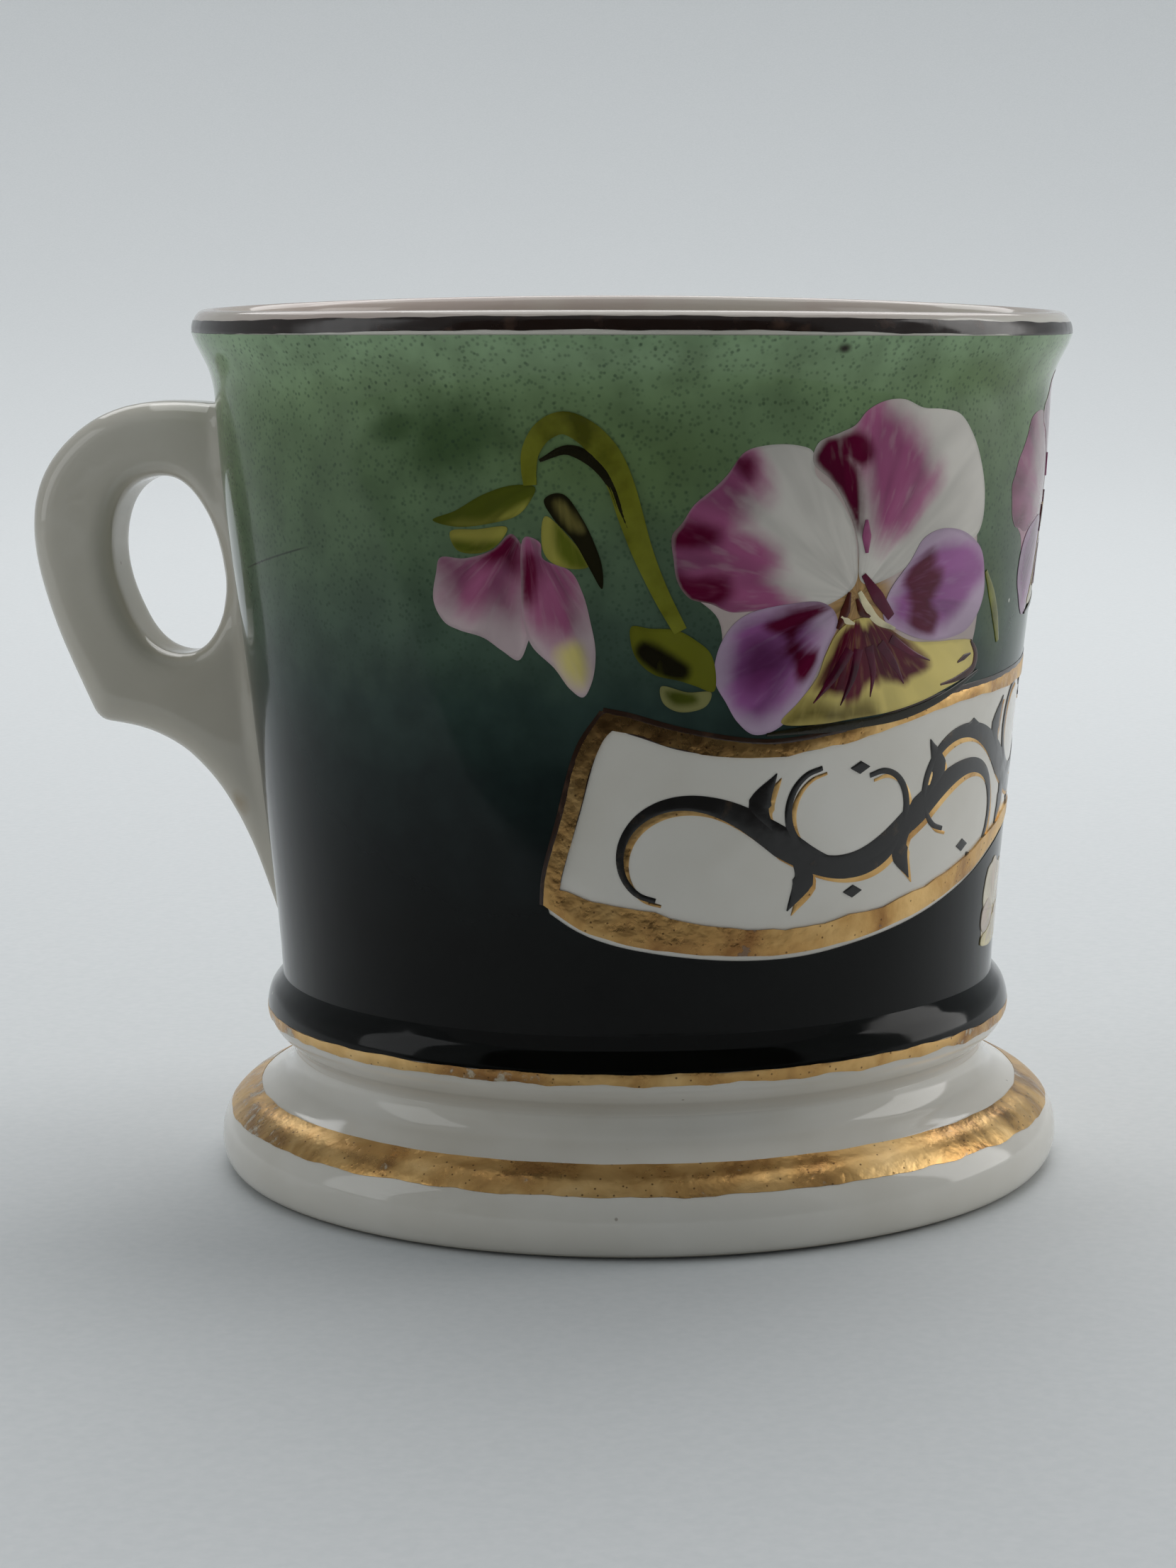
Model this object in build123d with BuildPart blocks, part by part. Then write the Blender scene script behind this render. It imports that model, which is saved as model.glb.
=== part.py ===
"""A porcelain shaving mug on a spreading pedestal foot.

The cup wall widens a little towards a flared, rounded lip.  A half-round bead runs
round its base, and below the bead a cove leads down to a foot as wide as the rim.
A flat-sided loop handle with a spur under it is stuck to the wall.  Over the glaze lie
the fired coats: a ground colour with a banner left white, gilding and enamel flowers.

The mug's axis is Z, the foot rests on Z = 0, the handle points along -X and the middle
of the banner faces +X.  Places on the wall are given as an angle round the axis,
counted from +X towards +Y, and a height.
"""
import os
from math import cos, radians, sin

from build123d import *

# ---------------------------------------------------------------- driving dimensions, mm
MUG_HEIGHT = 90.5
LIP_RADIUS = 45.9           # widest ring of the lip
LIP_HALF_WIDTH = 1.45       # the top of the wall is half an ellipse, this wide from its middle
LIP_CROWN = 2.1             # and this tall
LIP_CENTRE = (LIP_RADIUS - LIP_HALF_WIDTH, MUG_HEIGHT - LIP_CROWN)
FLARE_START = (43.6, 81.6)  # radius and height where the wall turns out towards the lip
NECK = (37.95, 20.6)        # radius and height where the wall rises from the bead
BEAD_RADIUS = 39.65         # widest ring of the bead
BEAD_HEIGHT = 17.2
BEAD_BOTTOM = (38.0, 14.0)
WAIST = (37.1, 12.4)        # narrowest ring of the cove, where cup and foot are joined
FOOT_EDGE = (41.0, 8.3)     # crisp upper edge of the foot's moulding
FOOT_RADIUS = 45.0          # widest ring of the foot
FOOT_WIDEST_HEIGHT = 3.2
FOOT_RING_OUTER = 43.6      # the flat ring that the mug stands on
FOOT_RING_INNER = 41.0
FOOT_JOINT_INNER = 32.6     # inside of the foot where it meets the cup's floor
INSIDE_CORNER = (34.2, 26.5)      # inside of the wall, where it turns in to the floor
INSIDE_FLARE = (40.0, 76.0)       # inside of the wall, where it starts to flare
INSIDE_FLARE_SLOPE = (-0.1, -1.0)
FLOOR_TOP = 17.6            # inside floor of the cup
FLOOR_FILLET = 9.0

HANDLE_THICKNESS = 10.0
HANDLE_EDGE_ROUND = 3.3     # round of the loop's outer edges
HANDLE_HOLE_ROUND = 2.2     # round of the edges of the finger hole
SPUR_ROUND = 2.2

COAT = 0.12                 # ground colour
ENAMEL = 0.10               # flowers, on top of the ground colour
GILDING = 0.08              # gold on the bare glaze
BORDER_TOP = 0.24           # top of the banner's raised gold border, above the glaze
BORDER_WIDTH = 1.9
RIM_LINE_ANGLES = (-10.0, 32.0)   # part of the lip's half ellipse that the dark rim line covers
GILT_LINE_BOTTOM = 15.9
GILT_LINE_TOP = 17.5
GROUND_TOP = 88.1
PAINTED_FROM = NECK[1] + 1.0      # nothing but the ground colour is painted below this height
FOOT_BAND_END = (44.55, 5.2)      # lower edge of the gold band on the foot

# Middle line of the banner's left half, as angle and height.  The right half is the same
# curve turned half a turn about the banner's centre, so the ribbon makes one long S.
BANNER_CENTRE_HEIGHT = 45.4
BANNER_LEFT_HALF = [(-90.0, 42.4), (-77.0, 39.9), (-62.0, 38.9), (-45.0, 40.0), (-22.0, 42.8)]
BANNER_HALF_HEIGHT = 10.1
BANNER_END_LEAN = 4.3       # degrees between the top corner of an end and its middle
TOOL_RADIUS = 42.0          # middle radius and radial depth of the slot that cuts the banner
TOOL_DEPTH = 14.0

# Ornament in the banner: pairs of leaves that get smaller from the middle outwards.
ORNAMENT_ANGLES = [14.0, 28.0, 42.0, 55.0]
ORNAMENT_LONGEST_LEAF = 12.0
ORNAMENT_SHRINK = 0.84      # each pair's length against that of the pair before it
ORNAMENT_SLANT = 58.0       # degrees of a leaf's slope on the wall
LEAF_FATNESS = 0.24         # half a leaf's width against half its length
ORNAMENT_GAP = 4.4          # between the two leaves of a pair, measured round the wall

# Outlines of the enamel flowers, as angles and heights.
OPEN_PANSY = [(-58.5, 77.0), (-64.0, 77.6), (-70.5, 74.4), (-75.8, 69.0), (-74.2, 63.6), (-70.2, 58.0),
              (-68.4, 53.6), (-63.8, 51.0), (-52.0, 51.6), (-40.0, 53.4), (-28.5, 56.4), (-25.0, 62.0),
              (-27.5, 70.5), (-31.0, 78.2), (-38.5, 81.3), (-46.5, 82.0), (-53.0, 79.6)]
PANSY_BUD = [(-107.2, 71.2), (-101.0, 73.2), (-96.5, 76.0), (-94.0, 79.6), (-89.2, 80.8), (-84.5, 77.8),
             (-80.8, 70.5), (-78.5, 64.0), (-77.0, 59.5), (-79.5, 56.2), (-84.0, 57.2), (-87.8, 54.4),
             (-93.0, 56.4), (-99.5, 57.6), (-106.0, 60.6), (-108.0, 65.8)]
CENTRE_PANSY = [(-15.0, 83.3), (-20.5, 78.0), (-20.8, 71.0), (-21.6, 65.5), (-16.5, 60.0), (-8.0, 58.4),
                (2.0, 60.0), (10.5, 62.5), (17.0, 67.5), (17.0, 76.0), (11.0, 81.8), (1.0, 84.0), (-8.0, 84.3)]
LOWER_SPRAY = [(-15.5, 28.5), (-11.0, 32.2), (-3.0, 33.2), (12.0, 34.0), (24.0, 35.4), (36.0, 37.0),
               (50.0, 37.6), (62.0, 36.0), (66.0, 32.5), (56.0, 30.6), (44.0, 29.0), (30.0, 26.0),
               (16.0, 23.6), (2.0, 22.6), (-10.0, 23.6)]


# Profiles are drawn on a half plane at a blank part of the wall, so that no turned face has
# its seam under a painted edge.
SEAM_ANGLE = radians(135.0)
PROFILE_PLANE = Plane(origin=(0, 0, 0), x_dir=(cos(SEAM_ANGLE), sin(SEAM_ANGLE), 0),
                      z_dir=(sin(SEAM_ANGLE), -cos(SEAM_ANGLE), 0))


# ---------------------------------------------------------------- outlines and helpers
def wall_curve(proud=0.0):
    """Outside of the cup, from the bead's underside up to the lip, moved out by proud."""
    def at(radius, height):
        return (radius + proud, height)

    bead = ThreePointArc(at(*BEAD_BOTTOM), at(BEAD_RADIUS, BEAD_HEIGHT), at(*NECK))
    wall = Spline(at(*NECK), at(39.6, 40.0), at(41.55, 58.5), at(43.05, 72.5), at(*FLARE_START),
                  tangents=[(0.02, 1.0), (0.0, 1.0)])
    flare = Spline(at(*FLARE_START), at(44.35, 84.9), at(LIP_RADIUS, LIP_CENTRE[1]),
                   tangents=[(0.0, 1.0), (0.05, 1.0)])
    return bead, wall, flare


def skin(inner, outer, bottom, top):
    """A ring-shaped coat between two distances outside the glaze and two heights."""
    with BuildPart() as coat:
        with BuildSketch(PROFILE_PLANE):
            with BuildLine():
                near = wall_curve(inner)
                far = wall_curve(outer)
                Line(near[0] @ 0, far[0] @ 0)
                Line(near[2] @ 1, far[2] @ 1)
            make_face()
        revolve(axis=Axis.Z)
        with BuildSketch(Plane.XY.offset(bottom)):
            Circle(2 * LIP_RADIUS)
        extrude(amount=top - bottom, mode=Mode.INTERSECT)
    return coat.part


def wall_radius(height):
    """Radius of the wall at a height: straight between a few rings, which is near enough
    for placing the painted outlines."""
    rings = [(NECK[1], NECK[0]), (40.0, 39.6), (58.5, 41.55), (72.5, 43.05), (FLARE_START[1], 43.6)]
    for (low, low_radius), (high, high_radius) in zip(rings, rings[1:]):
        if height <= high:
            share = (height - low) / (high - low)
            return low_radius + share * (high_radius - low_radius)
    return FLARE_START[0]


def facing_plane(angle):
    """The plane through the axis that faces outwards at an angle, with its Y up."""
    outward = Vector(cos(radians(angle)), sin(radians(angle)), 0.0)
    return Plane(origin=(0, 0, 0), x_dir=(-outward.Y, outward.X, 0.0), z_dir=outward)


def on_plane(spot, angle):
    """Where a spot on the wall, given as angle and height, falls on a facing plane."""
    return (wall_radius(spot[1]) * sin(radians(spot[0] - angle)), spot[1])


def patch(outline, inner, outer):
    """An enamel patch on the wall: a smooth closed outline of angles and heights."""
    angle = sum(spot[0] for spot in outline) / len(outline)
    with BuildPart() as enamel:
        with BuildSketch(facing_plane(angle)):
            with BuildLine():
                Spline(*[on_plane(spot, angle) for spot in outline], periodic=True)
            make_face()
        extrude(amount=2 * LIP_RADIUS)
        add(skin(inner, outer, PAINTED_FROM, GROUND_TOP), mode=Mode.INTERSECT)
    return enamel.part


def leaf(angle, height, length, slant):
    """A pointed enamel leaf on the bare glaze, its middle at an angle and height."""
    tip = Vector(cos(radians(slant)), sin(radians(slant))) * (length / 2)
    side = Vector(-tip.Y, tip.X) * LEAF_FATNESS
    middle = Vector(0.0, height)
    with BuildPart() as blade:
        with BuildSketch(facing_plane(angle)):
            with BuildLine():
                ThreePointArc(middle - tip, middle + side, middle + tip)
                ThreePointArc(middle + tip, middle - side, middle - tip)
            make_face()
        extrude(amount=2 * LIP_RADIUS)
        add(skin(0.0, ENAMEL, PAINTED_FROM, GROUND_TOP), mode=Mode.INTERSECT)
    return blade.part


def banner_height(angle):
    """Height of the banner's middle line at an angle."""
    middle = banner_middle()
    for (low, low_height), (high, high_height) in zip(middle, middle[1:]):
        if angle <= high:
            return low_height + (angle - low) / (high - low) * (high_height - low_height)
    return middle[-1][1]


def banner_middle():
    """Middle line of the banner from its left end to its right end."""
    turned = [(-angle, 2 * BANNER_CENTRE_HEIGHT - height) for angle, height in BANNER_LEFT_HALF]
    return BANNER_LEFT_HALF + [(0.0, BANNER_CENTRE_HEIGHT)] + turned[::-1]


def banner_section(angle, height, half, lean):
    """A tall slot across the wall at one place along the banner.  lean is how far, in
    degrees, its top stands further round the mug than its middle."""
    outward = Vector(cos(radians(angle)), sin(radians(angle)), 0.0)
    onward = Vector(-outward.Y, outward.X, 0.0)
    run = wall_radius(height) * radians(lean)
    along = Vector(0.0, 0.0, half) + onward * run
    section = Plane(origin=(0.0, 0.0, height), x_dir=outward, z_dir=outward.cross(along))
    with BuildSketch(section) as slot:
        with Locations((TOOL_RADIUS, 0.0)):
            Rectangle(TOOL_DEPTH, 2.0 * along.length)
    return slot.sketch


def banner_tool(shrink):
    """The banner as a slot through the wall.  shrink draws its outline in on all sides."""
    middle = banner_middle()
    step_in = shrink / radians(1.0) / wall_radius(BANNER_CENTRE_HEIGHT)
    first_angle, first_height = middle[0]
    last_angle, last_height = middle[-1]
    half = BANNER_HALF_HEIGHT - shrink
    lean = BANNER_END_LEAN * half / BANNER_HALF_HEIGHT
    with BuildPart() as tool:
        add(banner_section(first_angle + step_in, first_height, half, lean))
        for angle, height in middle[1:-1]:
            add(banner_section(angle, height, half, 0.0))
        add(banner_section(last_angle - step_in, last_height, half, lean))
        loft()
    return tool.part


def keep(part, name):
    """Name a finished piece and write it to its own file."""
    part.label = name
    export_step(part, f"parts/{name}.step")
    print(name, round(part.volume, 2))


os.makedirs("parts", exist_ok=True)

# ---------------------------------------------------------------- porcelain: cup
with BuildPart() as cup_body:
    with BuildSketch(PROFILE_PLANE):
        with BuildLine():
            cove = TangentArc(WAIST, BEAD_BOTTOM, tangent=(0.0, 1.0))
            bead_line, wall_line, flare_line = wall_curve()
            lip = EllipticalCenterArc(LIP_CENTRE, LIP_HALF_WIDTH, LIP_CROWN, 0.0, arc_size=180.0)
            inside_flare = Spline(lip @ 1, (41.2, 84.0), INSIDE_FLARE,
                                  tangents=[(-0.25, -1.0), INSIDE_FLARE_SLOPE])
            inside = Spline(inside_flare @ 1, (37.7, 55.0), (35.0, 33.0), INSIDE_CORNER,
                            tangents=[INSIDE_FLARE_SLOPE, (-0.12, -1.0)])
            corner = TangentArc(inside @ 1, (INSIDE_CORNER[0] - FLOOR_FILLET, FLOOR_TOP), tangent=inside % 1)
            floor = Line(corner @ 1, (0.0, FLOOR_TOP))
            axis_line = Line(floor @ 1, (0.0, WAIST[1]))
            Line(axis_line @ 1, WAIST)
        make_face()
    revolve(axis=Axis.Z)

# ---------------------------------------------------------------- porcelain: foot
with BuildPart() as pedestal_foot:
    with BuildSketch(PROFILE_PLANE):
        with BuildLine():
            scotia = TangentArc(WAIST, (39.0, 9.5), tangent=(0.0, -1.0))
            apron = Line(scotia @ 1, FOOT_EDGE)
            shoulder = ThreePointArc(apron @ 1, (43.85, 6.3), (FOOT_RADIUS, FOOT_WIDEST_HEIGHT))
            under = TangentArc(shoulder @ 1, (FOOT_RING_OUTER, 0.0), tangent=(0.0, -1.0))
            ring = Line(under @ 1, (FOOT_RING_INNER, 0.0))
            hollow = Spline(ring @ 1, (39.6, 2.2), (35.4, 7.6), (FOOT_JOINT_INNER, WAIST[1]),
                            tangents=[(-0.35, 1.0), (-0.2, 1.0)])
            Line(hollow @ 1, WAIST)
        make_face()
    revolve(axis=Axis.Z)

# ---------------------------------------------------------------- porcelain: handle
HANDLE_PLANE = Plane(origin=(0, HANDLE_THICKNESS / 2, 0), x_dir=(-1, 0, 0), z_dir=(0, 1, 0))
SPUR = (59.0, 46.1)         # distance from the axis and height of the corner under the loop

with BuildPart() as cup_envelope:
    with BuildSketch(PROFILE_PLANE):
        with BuildLine():
            bead_edge, wall_edge, flare_edge = wall_curve()
            Polyline(bead_edge @ 0, (0, BEAD_BOTTOM[1]), (0, LIP_CENTRE[1]), flare_edge @ 1)
        make_face()
    revolve(axis=Axis.Z)

with BuildPart() as loop_handle:
    with BuildSketch(HANDLE_PLANE):
        with BuildLine():
            back = Spline((40.0, 80.0), (47.0, 80.9), (54.5, 80.6), (61.3, 77.1), (65.1, 71.3), (65.5, 64.5),
                          (63.1, 55.9), SPUR)
            tail = Spline(SPUR, (54.8, 45.7), (50.0, 43.7), (44.9, 38.2), (41.2, 30.2), (36.7, 18.5))
            Line(tail @ 1, back @ 0)
        make_face()
        with BuildLine():
            Spline((50.8, 73.0), (54.9, 71.1), (56.6, 65.4), (55.3, 59.3), (51.5, 54.3), (47.4, 54.1),
                   (44.3, 58.5), (44.5, 65.2), (46.9, 70.7), periodic=True)
        make_face(mode=Mode.SUBTRACT)
        fillet(vertices().sort_by_distance(SPUR)[0], SPUR_ROUND)
    extrude(amount=-HANDLE_THICKNESS)
    hole_edges = [edge for side in faces().filter_by(Axis.Y) for wire in side.inner_wires()
                  for edge in wire.edges()]
    fillet(hole_edges, HANDLE_HOLE_ROUND)
    outer_edges = [edge for side in faces().filter_by(Axis.Y) for edge in side.outer_wire().edges()
                   if edge.geom_type != GeomType.LINE]
    fillet(outer_edges, HANDLE_EDGE_ROUND)
    add(cup_envelope.part, mode=Mode.SUBTRACT)

# ---------------------------------------------------------------- fired coats
with BuildPart() as ground_colour_coat:
    add(skin(0.0, COAT, GILT_LINE_TOP, GROUND_TOP))
    add(banner_tool(0.0), mode=Mode.SUBTRACT)
    add(loop_handle.part, mode=Mode.SUBTRACT)

with BuildPart() as banner_gilt_border:
    add(skin(0.0, BORDER_TOP, PAINTED_FROM, FLARE_START[1]))
    add(banner_tool(0.0), mode=Mode.INTERSECT)
    add(banner_tool(BORDER_WIDTH), mode=Mode.SUBTRACT)

with BuildPart() as rim_line:
    with BuildSketch(PROFILE_PLANE):
        with BuildLine():
            start, end = RIM_LINE_ANGLES
            near_arc = EllipticalCenterArc(LIP_CENTRE, LIP_HALF_WIDTH, LIP_CROWN, start, arc_size=end - start)
            far_arc = EllipticalCenterArc(LIP_CENTRE, LIP_HALF_WIDTH + COAT, LIP_CROWN + COAT, start,
                                          arc_size=end - start)
            Line(near_arc @ 0, far_arc @ 0)
            Line(near_arc @ 1, far_arc @ 1)
        make_face()
    revolve(axis=Axis.Z)
    add(cup_body.part, mode=Mode.SUBTRACT)

with BuildPart() as bead_gilt_line:
    add(skin(0.0, GILDING, GILT_LINE_BOTTOM, GILT_LINE_TOP))

with BuildPart() as foot_gilt_band:
    with BuildSketch(PROFILE_PLANE):
        with BuildLine():
            near_arc = ThreePointArc(FOOT_EDGE, (43.0, 7.15), FOOT_BAND_END)
            Line(near_arc @ 1, near_arc @ 1 + (GILDING, GILDING))
            far_arc = ThreePointArc(near_arc @ 1 + (GILDING, GILDING), (43.0 + GILDING, 7.15 + GILDING),
                                    near_arc @ 0 + (0.0, GILDING))
            Line(far_arc @ 1, near_arc @ 0)
        make_face()
    revolve(axis=Axis.Z)
    add(pedestal_foot.part, mode=Mode.SUBTRACT)

with BuildPart() as banner_ornament:
    add(leaf(0.0, BANNER_CENTRE_HEIGHT, ORNAMENT_LONGEST_LEAF, 90.0))
    for number, angle in enumerate(ORNAMENT_ANGLES):
        length = ORNAMENT_LONGEST_LEAF * ORNAMENT_SHRINK**number
        half_gap = ORNAMENT_GAP / 2 / radians(1.0) / wall_radius(BANNER_CENTRE_HEIGHT)
        for side in (-1, 1):
            for step in (-half_gap, half_gap):
                spot = side * angle + step
                add(leaf(spot, banner_height(spot), length, ORNAMENT_SLANT))

with BuildPart() as open_pansy:
    add(patch(OPEN_PANSY, COAT, COAT + ENAMEL))

with BuildPart() as pansy_bud:
    add(patch(PANSY_BUD, COAT, COAT + ENAMEL))

with BuildPart() as centre_pansy:
    add(patch(CENTRE_PANSY, COAT, COAT + ENAMEL))

with BuildPart() as lower_spray:
    add(patch(LOWER_SPRAY, COAT, COAT + ENAMEL))

keep(cup_body.part, "cup_body")
keep(pedestal_foot.part, "pedestal_foot")
keep(loop_handle.part, "loop_handle")
keep(ground_colour_coat.part, "ground_colour_coat")
keep(banner_gilt_border.part, "banner_gilt_border")
keep(rim_line.part, "rim_line")
keep(bead_gilt_line.part, "bead_gilt_line")
keep(foot_gilt_band.part, "foot_gilt_band")
keep(banner_ornament.part, "banner_ornament")
keep(open_pansy.part, "open_pansy")
keep(pansy_bud.part, "pansy_bud")
keep(centre_pansy.part, "centre_pansy")
keep(lower_spray.part, "lower_spray")
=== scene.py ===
"""Looks of the porcelain shaving mug: glaze, ground colour, gilding, banner and enamel flowers.

The mug's axis is Z, the handle points along -X and the banner's middle faces +X.  A spot on
the wall is an angle round the axis in degrees, from +X towards +Y, and a height in
millimetres.  Everything painted is a thin closed sheet of enamel or gold on that wall.
"""
import math

import bmesh
import bpy
import numpy as np
from mathutils import Matrix, Vector, noise
from mathutils.geometry import delaunay_2d_cdt


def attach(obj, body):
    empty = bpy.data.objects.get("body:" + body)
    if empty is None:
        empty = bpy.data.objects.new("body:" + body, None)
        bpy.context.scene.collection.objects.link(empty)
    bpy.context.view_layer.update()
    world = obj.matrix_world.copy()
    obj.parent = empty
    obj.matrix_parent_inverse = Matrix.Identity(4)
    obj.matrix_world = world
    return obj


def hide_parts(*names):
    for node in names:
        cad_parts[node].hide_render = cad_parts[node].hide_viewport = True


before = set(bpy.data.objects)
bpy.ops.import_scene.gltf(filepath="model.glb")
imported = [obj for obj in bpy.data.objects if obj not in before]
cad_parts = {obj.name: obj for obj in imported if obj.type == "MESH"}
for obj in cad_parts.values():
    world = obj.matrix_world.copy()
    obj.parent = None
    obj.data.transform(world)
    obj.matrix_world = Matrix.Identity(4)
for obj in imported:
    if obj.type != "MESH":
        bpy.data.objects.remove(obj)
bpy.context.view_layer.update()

MM = 0.001
BODY = "root"

# ------------------------------------------------------------------ camera, lights and floor
CAMERA_SPOT = Vector((55.97, -353.4, 93.1)) * MM
CAMERA_TURN = math.radians(-9.81)     # heading, against looking along +Y, clockwise positive
CAMERA_DIP = math.radians(8.47)
CAMERA_ROLL = math.radians(-0.60)
CAMERA_LENS = 77.3


def make_camera():
    """A portrait camera a little above the rim, 36 cm from the mug."""
    data = bpy.data.cameras.new("camera")
    data.lens = CAMERA_LENS
    data.sensor_width = 36.0
    data.clip_start = 0.01
    data.clip_end = 20.0
    camera = bpy.data.objects.new("camera", data)
    bpy.context.scene.collection.objects.link(camera)
    ahead = Vector((math.sin(CAMERA_TURN) * math.cos(CAMERA_DIP),
                    math.cos(CAMERA_TURN) * math.cos(CAMERA_DIP), -math.sin(CAMERA_DIP)))
    right = Vector((math.cos(CAMERA_TURN), -math.sin(CAMERA_TURN), 0.0))
    up = right.cross(ahead)
    across = right * math.cos(CAMERA_ROLL) + up * math.sin(CAMERA_ROLL)
    upward = up * math.cos(CAMERA_ROLL) - right * math.sin(CAMERA_ROLL)
    camera.matrix_world = Matrix.Translation(CAMERA_SPOT) @ Matrix(
        (across, upward, -ahead)).transposed().to_4x4()
    bpy.context.scene.camera = camera


def area_light(name, spot, aim, size, watts, colour=(1.0, 1.0, 1.0)):
    """A large soft rectangle of light that faces a point."""
    data = bpy.data.lights.new(name, "AREA")
    data.shape = "RECTANGLE"
    data.size, data.size_y = size
    data.energy = watts
    data.color = colour
    lamp = bpy.data.objects.new(name, data)
    lamp.location = spot
    lamp.rotation_euler = (Vector(aim) - Vector(spot)).to_track_quat("-Z", "Y").to_euler()
    bpy.context.scene.collection.objects.link(lamp)


def view_direction(turn, rise=0.0):
    """A direction given from the camera's point of view: 0 is away from the camera, 90 is to
    its right; rise lifts it above the horizon."""
    heading = CAMERA_TURN + math.radians(turn)
    lift = math.radians(rise)
    level = math.cos(lift)
    return Vector((math.sin(heading) * level, math.cos(heading) * level, math.sin(lift)))


# The paper tent, as radius and height in metres.
TENT_OUTLINE = [(0.0, 0.0), (0.9, 0.0), (1.3, 0.03), (1.65, 0.14), (1.88, 0.36), (1.98, 0.7),
                (2.0, 1.3), (2.0, 2.4)]
TENT_SMALLEST = 0.002
TENT_SIDES = 96
WORLD_COLOUR = (0.93, 0.97, 1.0, 1.0)
WORLD_STRENGTH = 0.30
MUG_MIDDLE = (0.0, 0.0, 0.045)


def make_tent():
    """A round pale floor that curves up into a wall."""
    bowl = bmesh.new()
    rings = []
    for radius, height in smooth(TENT_OUTLINE, 6):
        radius = max(radius, TENT_SMALLEST)
        rings.append([bowl.verts.new((radius * math.cos(a), radius * math.sin(a), height))
                      for a in np.linspace(0.0, 2 * math.pi, TENT_SIDES, endpoint=False)])
    for low, high in zip(rings, rings[1:]):
        for i in range(TENT_SIDES):
            after = (i + 1) % TENT_SIDES
            bowl.faces.new((low[i], low[after], high[after], high[i]))
    bowl.faces.new(rings[0])
    tent = new_object("studio_tent", bowl)
    paper = Nodes("studio_paper")
    grain = paper.noise(paper.position(), 900.0, 2.0)
    paper.finish(paper.ramp(grain, [(0.3, (0.70, 0.725, 0.735)), (0.7, (0.735, 0.755, 0.765))]), 0.75,
                 bump=(grain, 0.02, 0.0002))
    tent.data.materials.append(paper.material)


def make_cards():
    """Two dark cards on the camera's side, seen only in reflections: one stands, one lies."""
    felt = Nodes("studio_felt")
    felt.finish((0.02, 0.02, 0.02), 0.9)
    across = view_direction(90.0) * 1.1
    back = view_direction(180.0)
    cards = {"studio_flag": (back * 0.95 + Vector((0.0, 0.0, 0.7)), across, Vector((0.0, 0.0, 0.69))),
             "studio_floor_flag": (back * 0.535 + Vector((0.0, 0.0, 0.002)), across * 0.6, back * 0.415)}
    for name, (middle, side, up) in cards.items():
        card = bmesh.new()
        corners = ((-1, -1), (1, -1), (1, 1), (-1, 1))
        card.faces.new([card.verts.new(middle + a * side + b * up) for a, b in corners])
        flag = new_object(name, card)
        flag.data.materials.append(felt.material)
        flag.visible_camera = False
        flag.visible_diffuse = False
        flag.visible_shadow = False


def make_lights():
    """Soft lamps above, at both sides and on the backdrop, and a dim sky."""
    world = bpy.data.worlds.new("studio")
    world.use_nodes = True
    sky = world.node_tree.nodes["Background"].inputs
    sky["Color"].default_value = WORLD_COLOUR
    sky["Strength"].default_value = WORLD_STRENGTH
    bpy.context.scene.world = world
    area_light("top_light", view_direction(10.0, 68.0) * 1.1, MUG_MIDDLE, (0.9, 0.9), 4.1)
    area_light("left_light", view_direction(-100.0, 24.0) * 0.9, MUG_MIDDLE, (0.35, 0.7), 0.85,
               (0.97, 0.99, 1.0))
    area_light("right_light", view_direction(78.0, 22.0) * 0.9, MUG_MIDDLE, (0.45, 0.7), 2.2,
               (1.0, 0.99, 0.97))
    area_light("back_light", view_direction(0.0, 40.0) * 1.5, view_direction(0.0) * 0.9, (1.6, 0.8), 7.3)


# ------------------------------------------------------------------ small geometry tools
def smooth(points, steps=8, closed=False):
    """Points along a Catmull-Rom curve through the given points."""
    given = np.array(points, float)
    if closed:
        padded = np.vstack([given[-1:], given, given[:2]])
    else:
        padded = np.vstack([2 * given[0] - given[1], given, 2 * given[-1] - given[-2]])
    found = []
    for p0, p1, p2, p3 in zip(padded, padded[1:], padded[2:], padded[3:]):
        gaps = [max(np.linalg.norm(b - a), 1e-9) ** 0.5 for a, b in ((p0, p1), (p1, p2), (p2, p3))]
        t1, t2, t3 = gaps[0], gaps[0] + gaps[1], sum(gaps)
        for t in np.linspace(t1, t2, steps, endpoint=False):
            a1 = (t1 - t) / t1 * p0 + t / t1 * p1
            a2 = (t2 - t) / (t2 - t1) * p1 + (t - t1) / (t2 - t1) * p2
            a3 = (t3 - t) / (t3 - t2) * p2 + (t - t2) / (t3 - t2) * p3
            b1 = (t2 - t) / t2 * a1 + t / t2 * a2
            b2 = (t3 - t) / (t3 - t1) * a2 + (t - t1) / (t3 - t1) * a3
            found.append((t2 - t) / (t2 - t1) * b1 + (t - t1) / (t2 - t1) * b2)
    if not closed:
        found.append(given[-1])
    return np.array(found)


SHARP_ANGLE = math.radians(40.0)


def new_object(name, mesh_maker):
    """Turns a finished bmesh into a smooth-shaded object in the scene."""
    mesh = bpy.data.meshes.new(name)
    bmesh.ops.recalc_face_normals(mesh_maker, faces=mesh_maker.faces[:])
    mesh_maker.to_mesh(mesh)
    mesh_maker.free()
    mesh.shade_smooth()
    mesh.set_sharp_from_angle(angle=SHARP_ANGLE)
    made = bpy.data.objects.new(name, mesh)
    bpy.context.scene.collection.objects.link(made)
    return made


def object_from(name, verts, faces):
    """The same, from arrays of corners in metres and lists of faces."""
    maker = bmesh.new()
    corners = [maker.verts.new(v) for v in verts]
    for face in faces:
        maker.faces.new([corners[i] for i in face])
    return new_object(name, maker)


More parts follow.
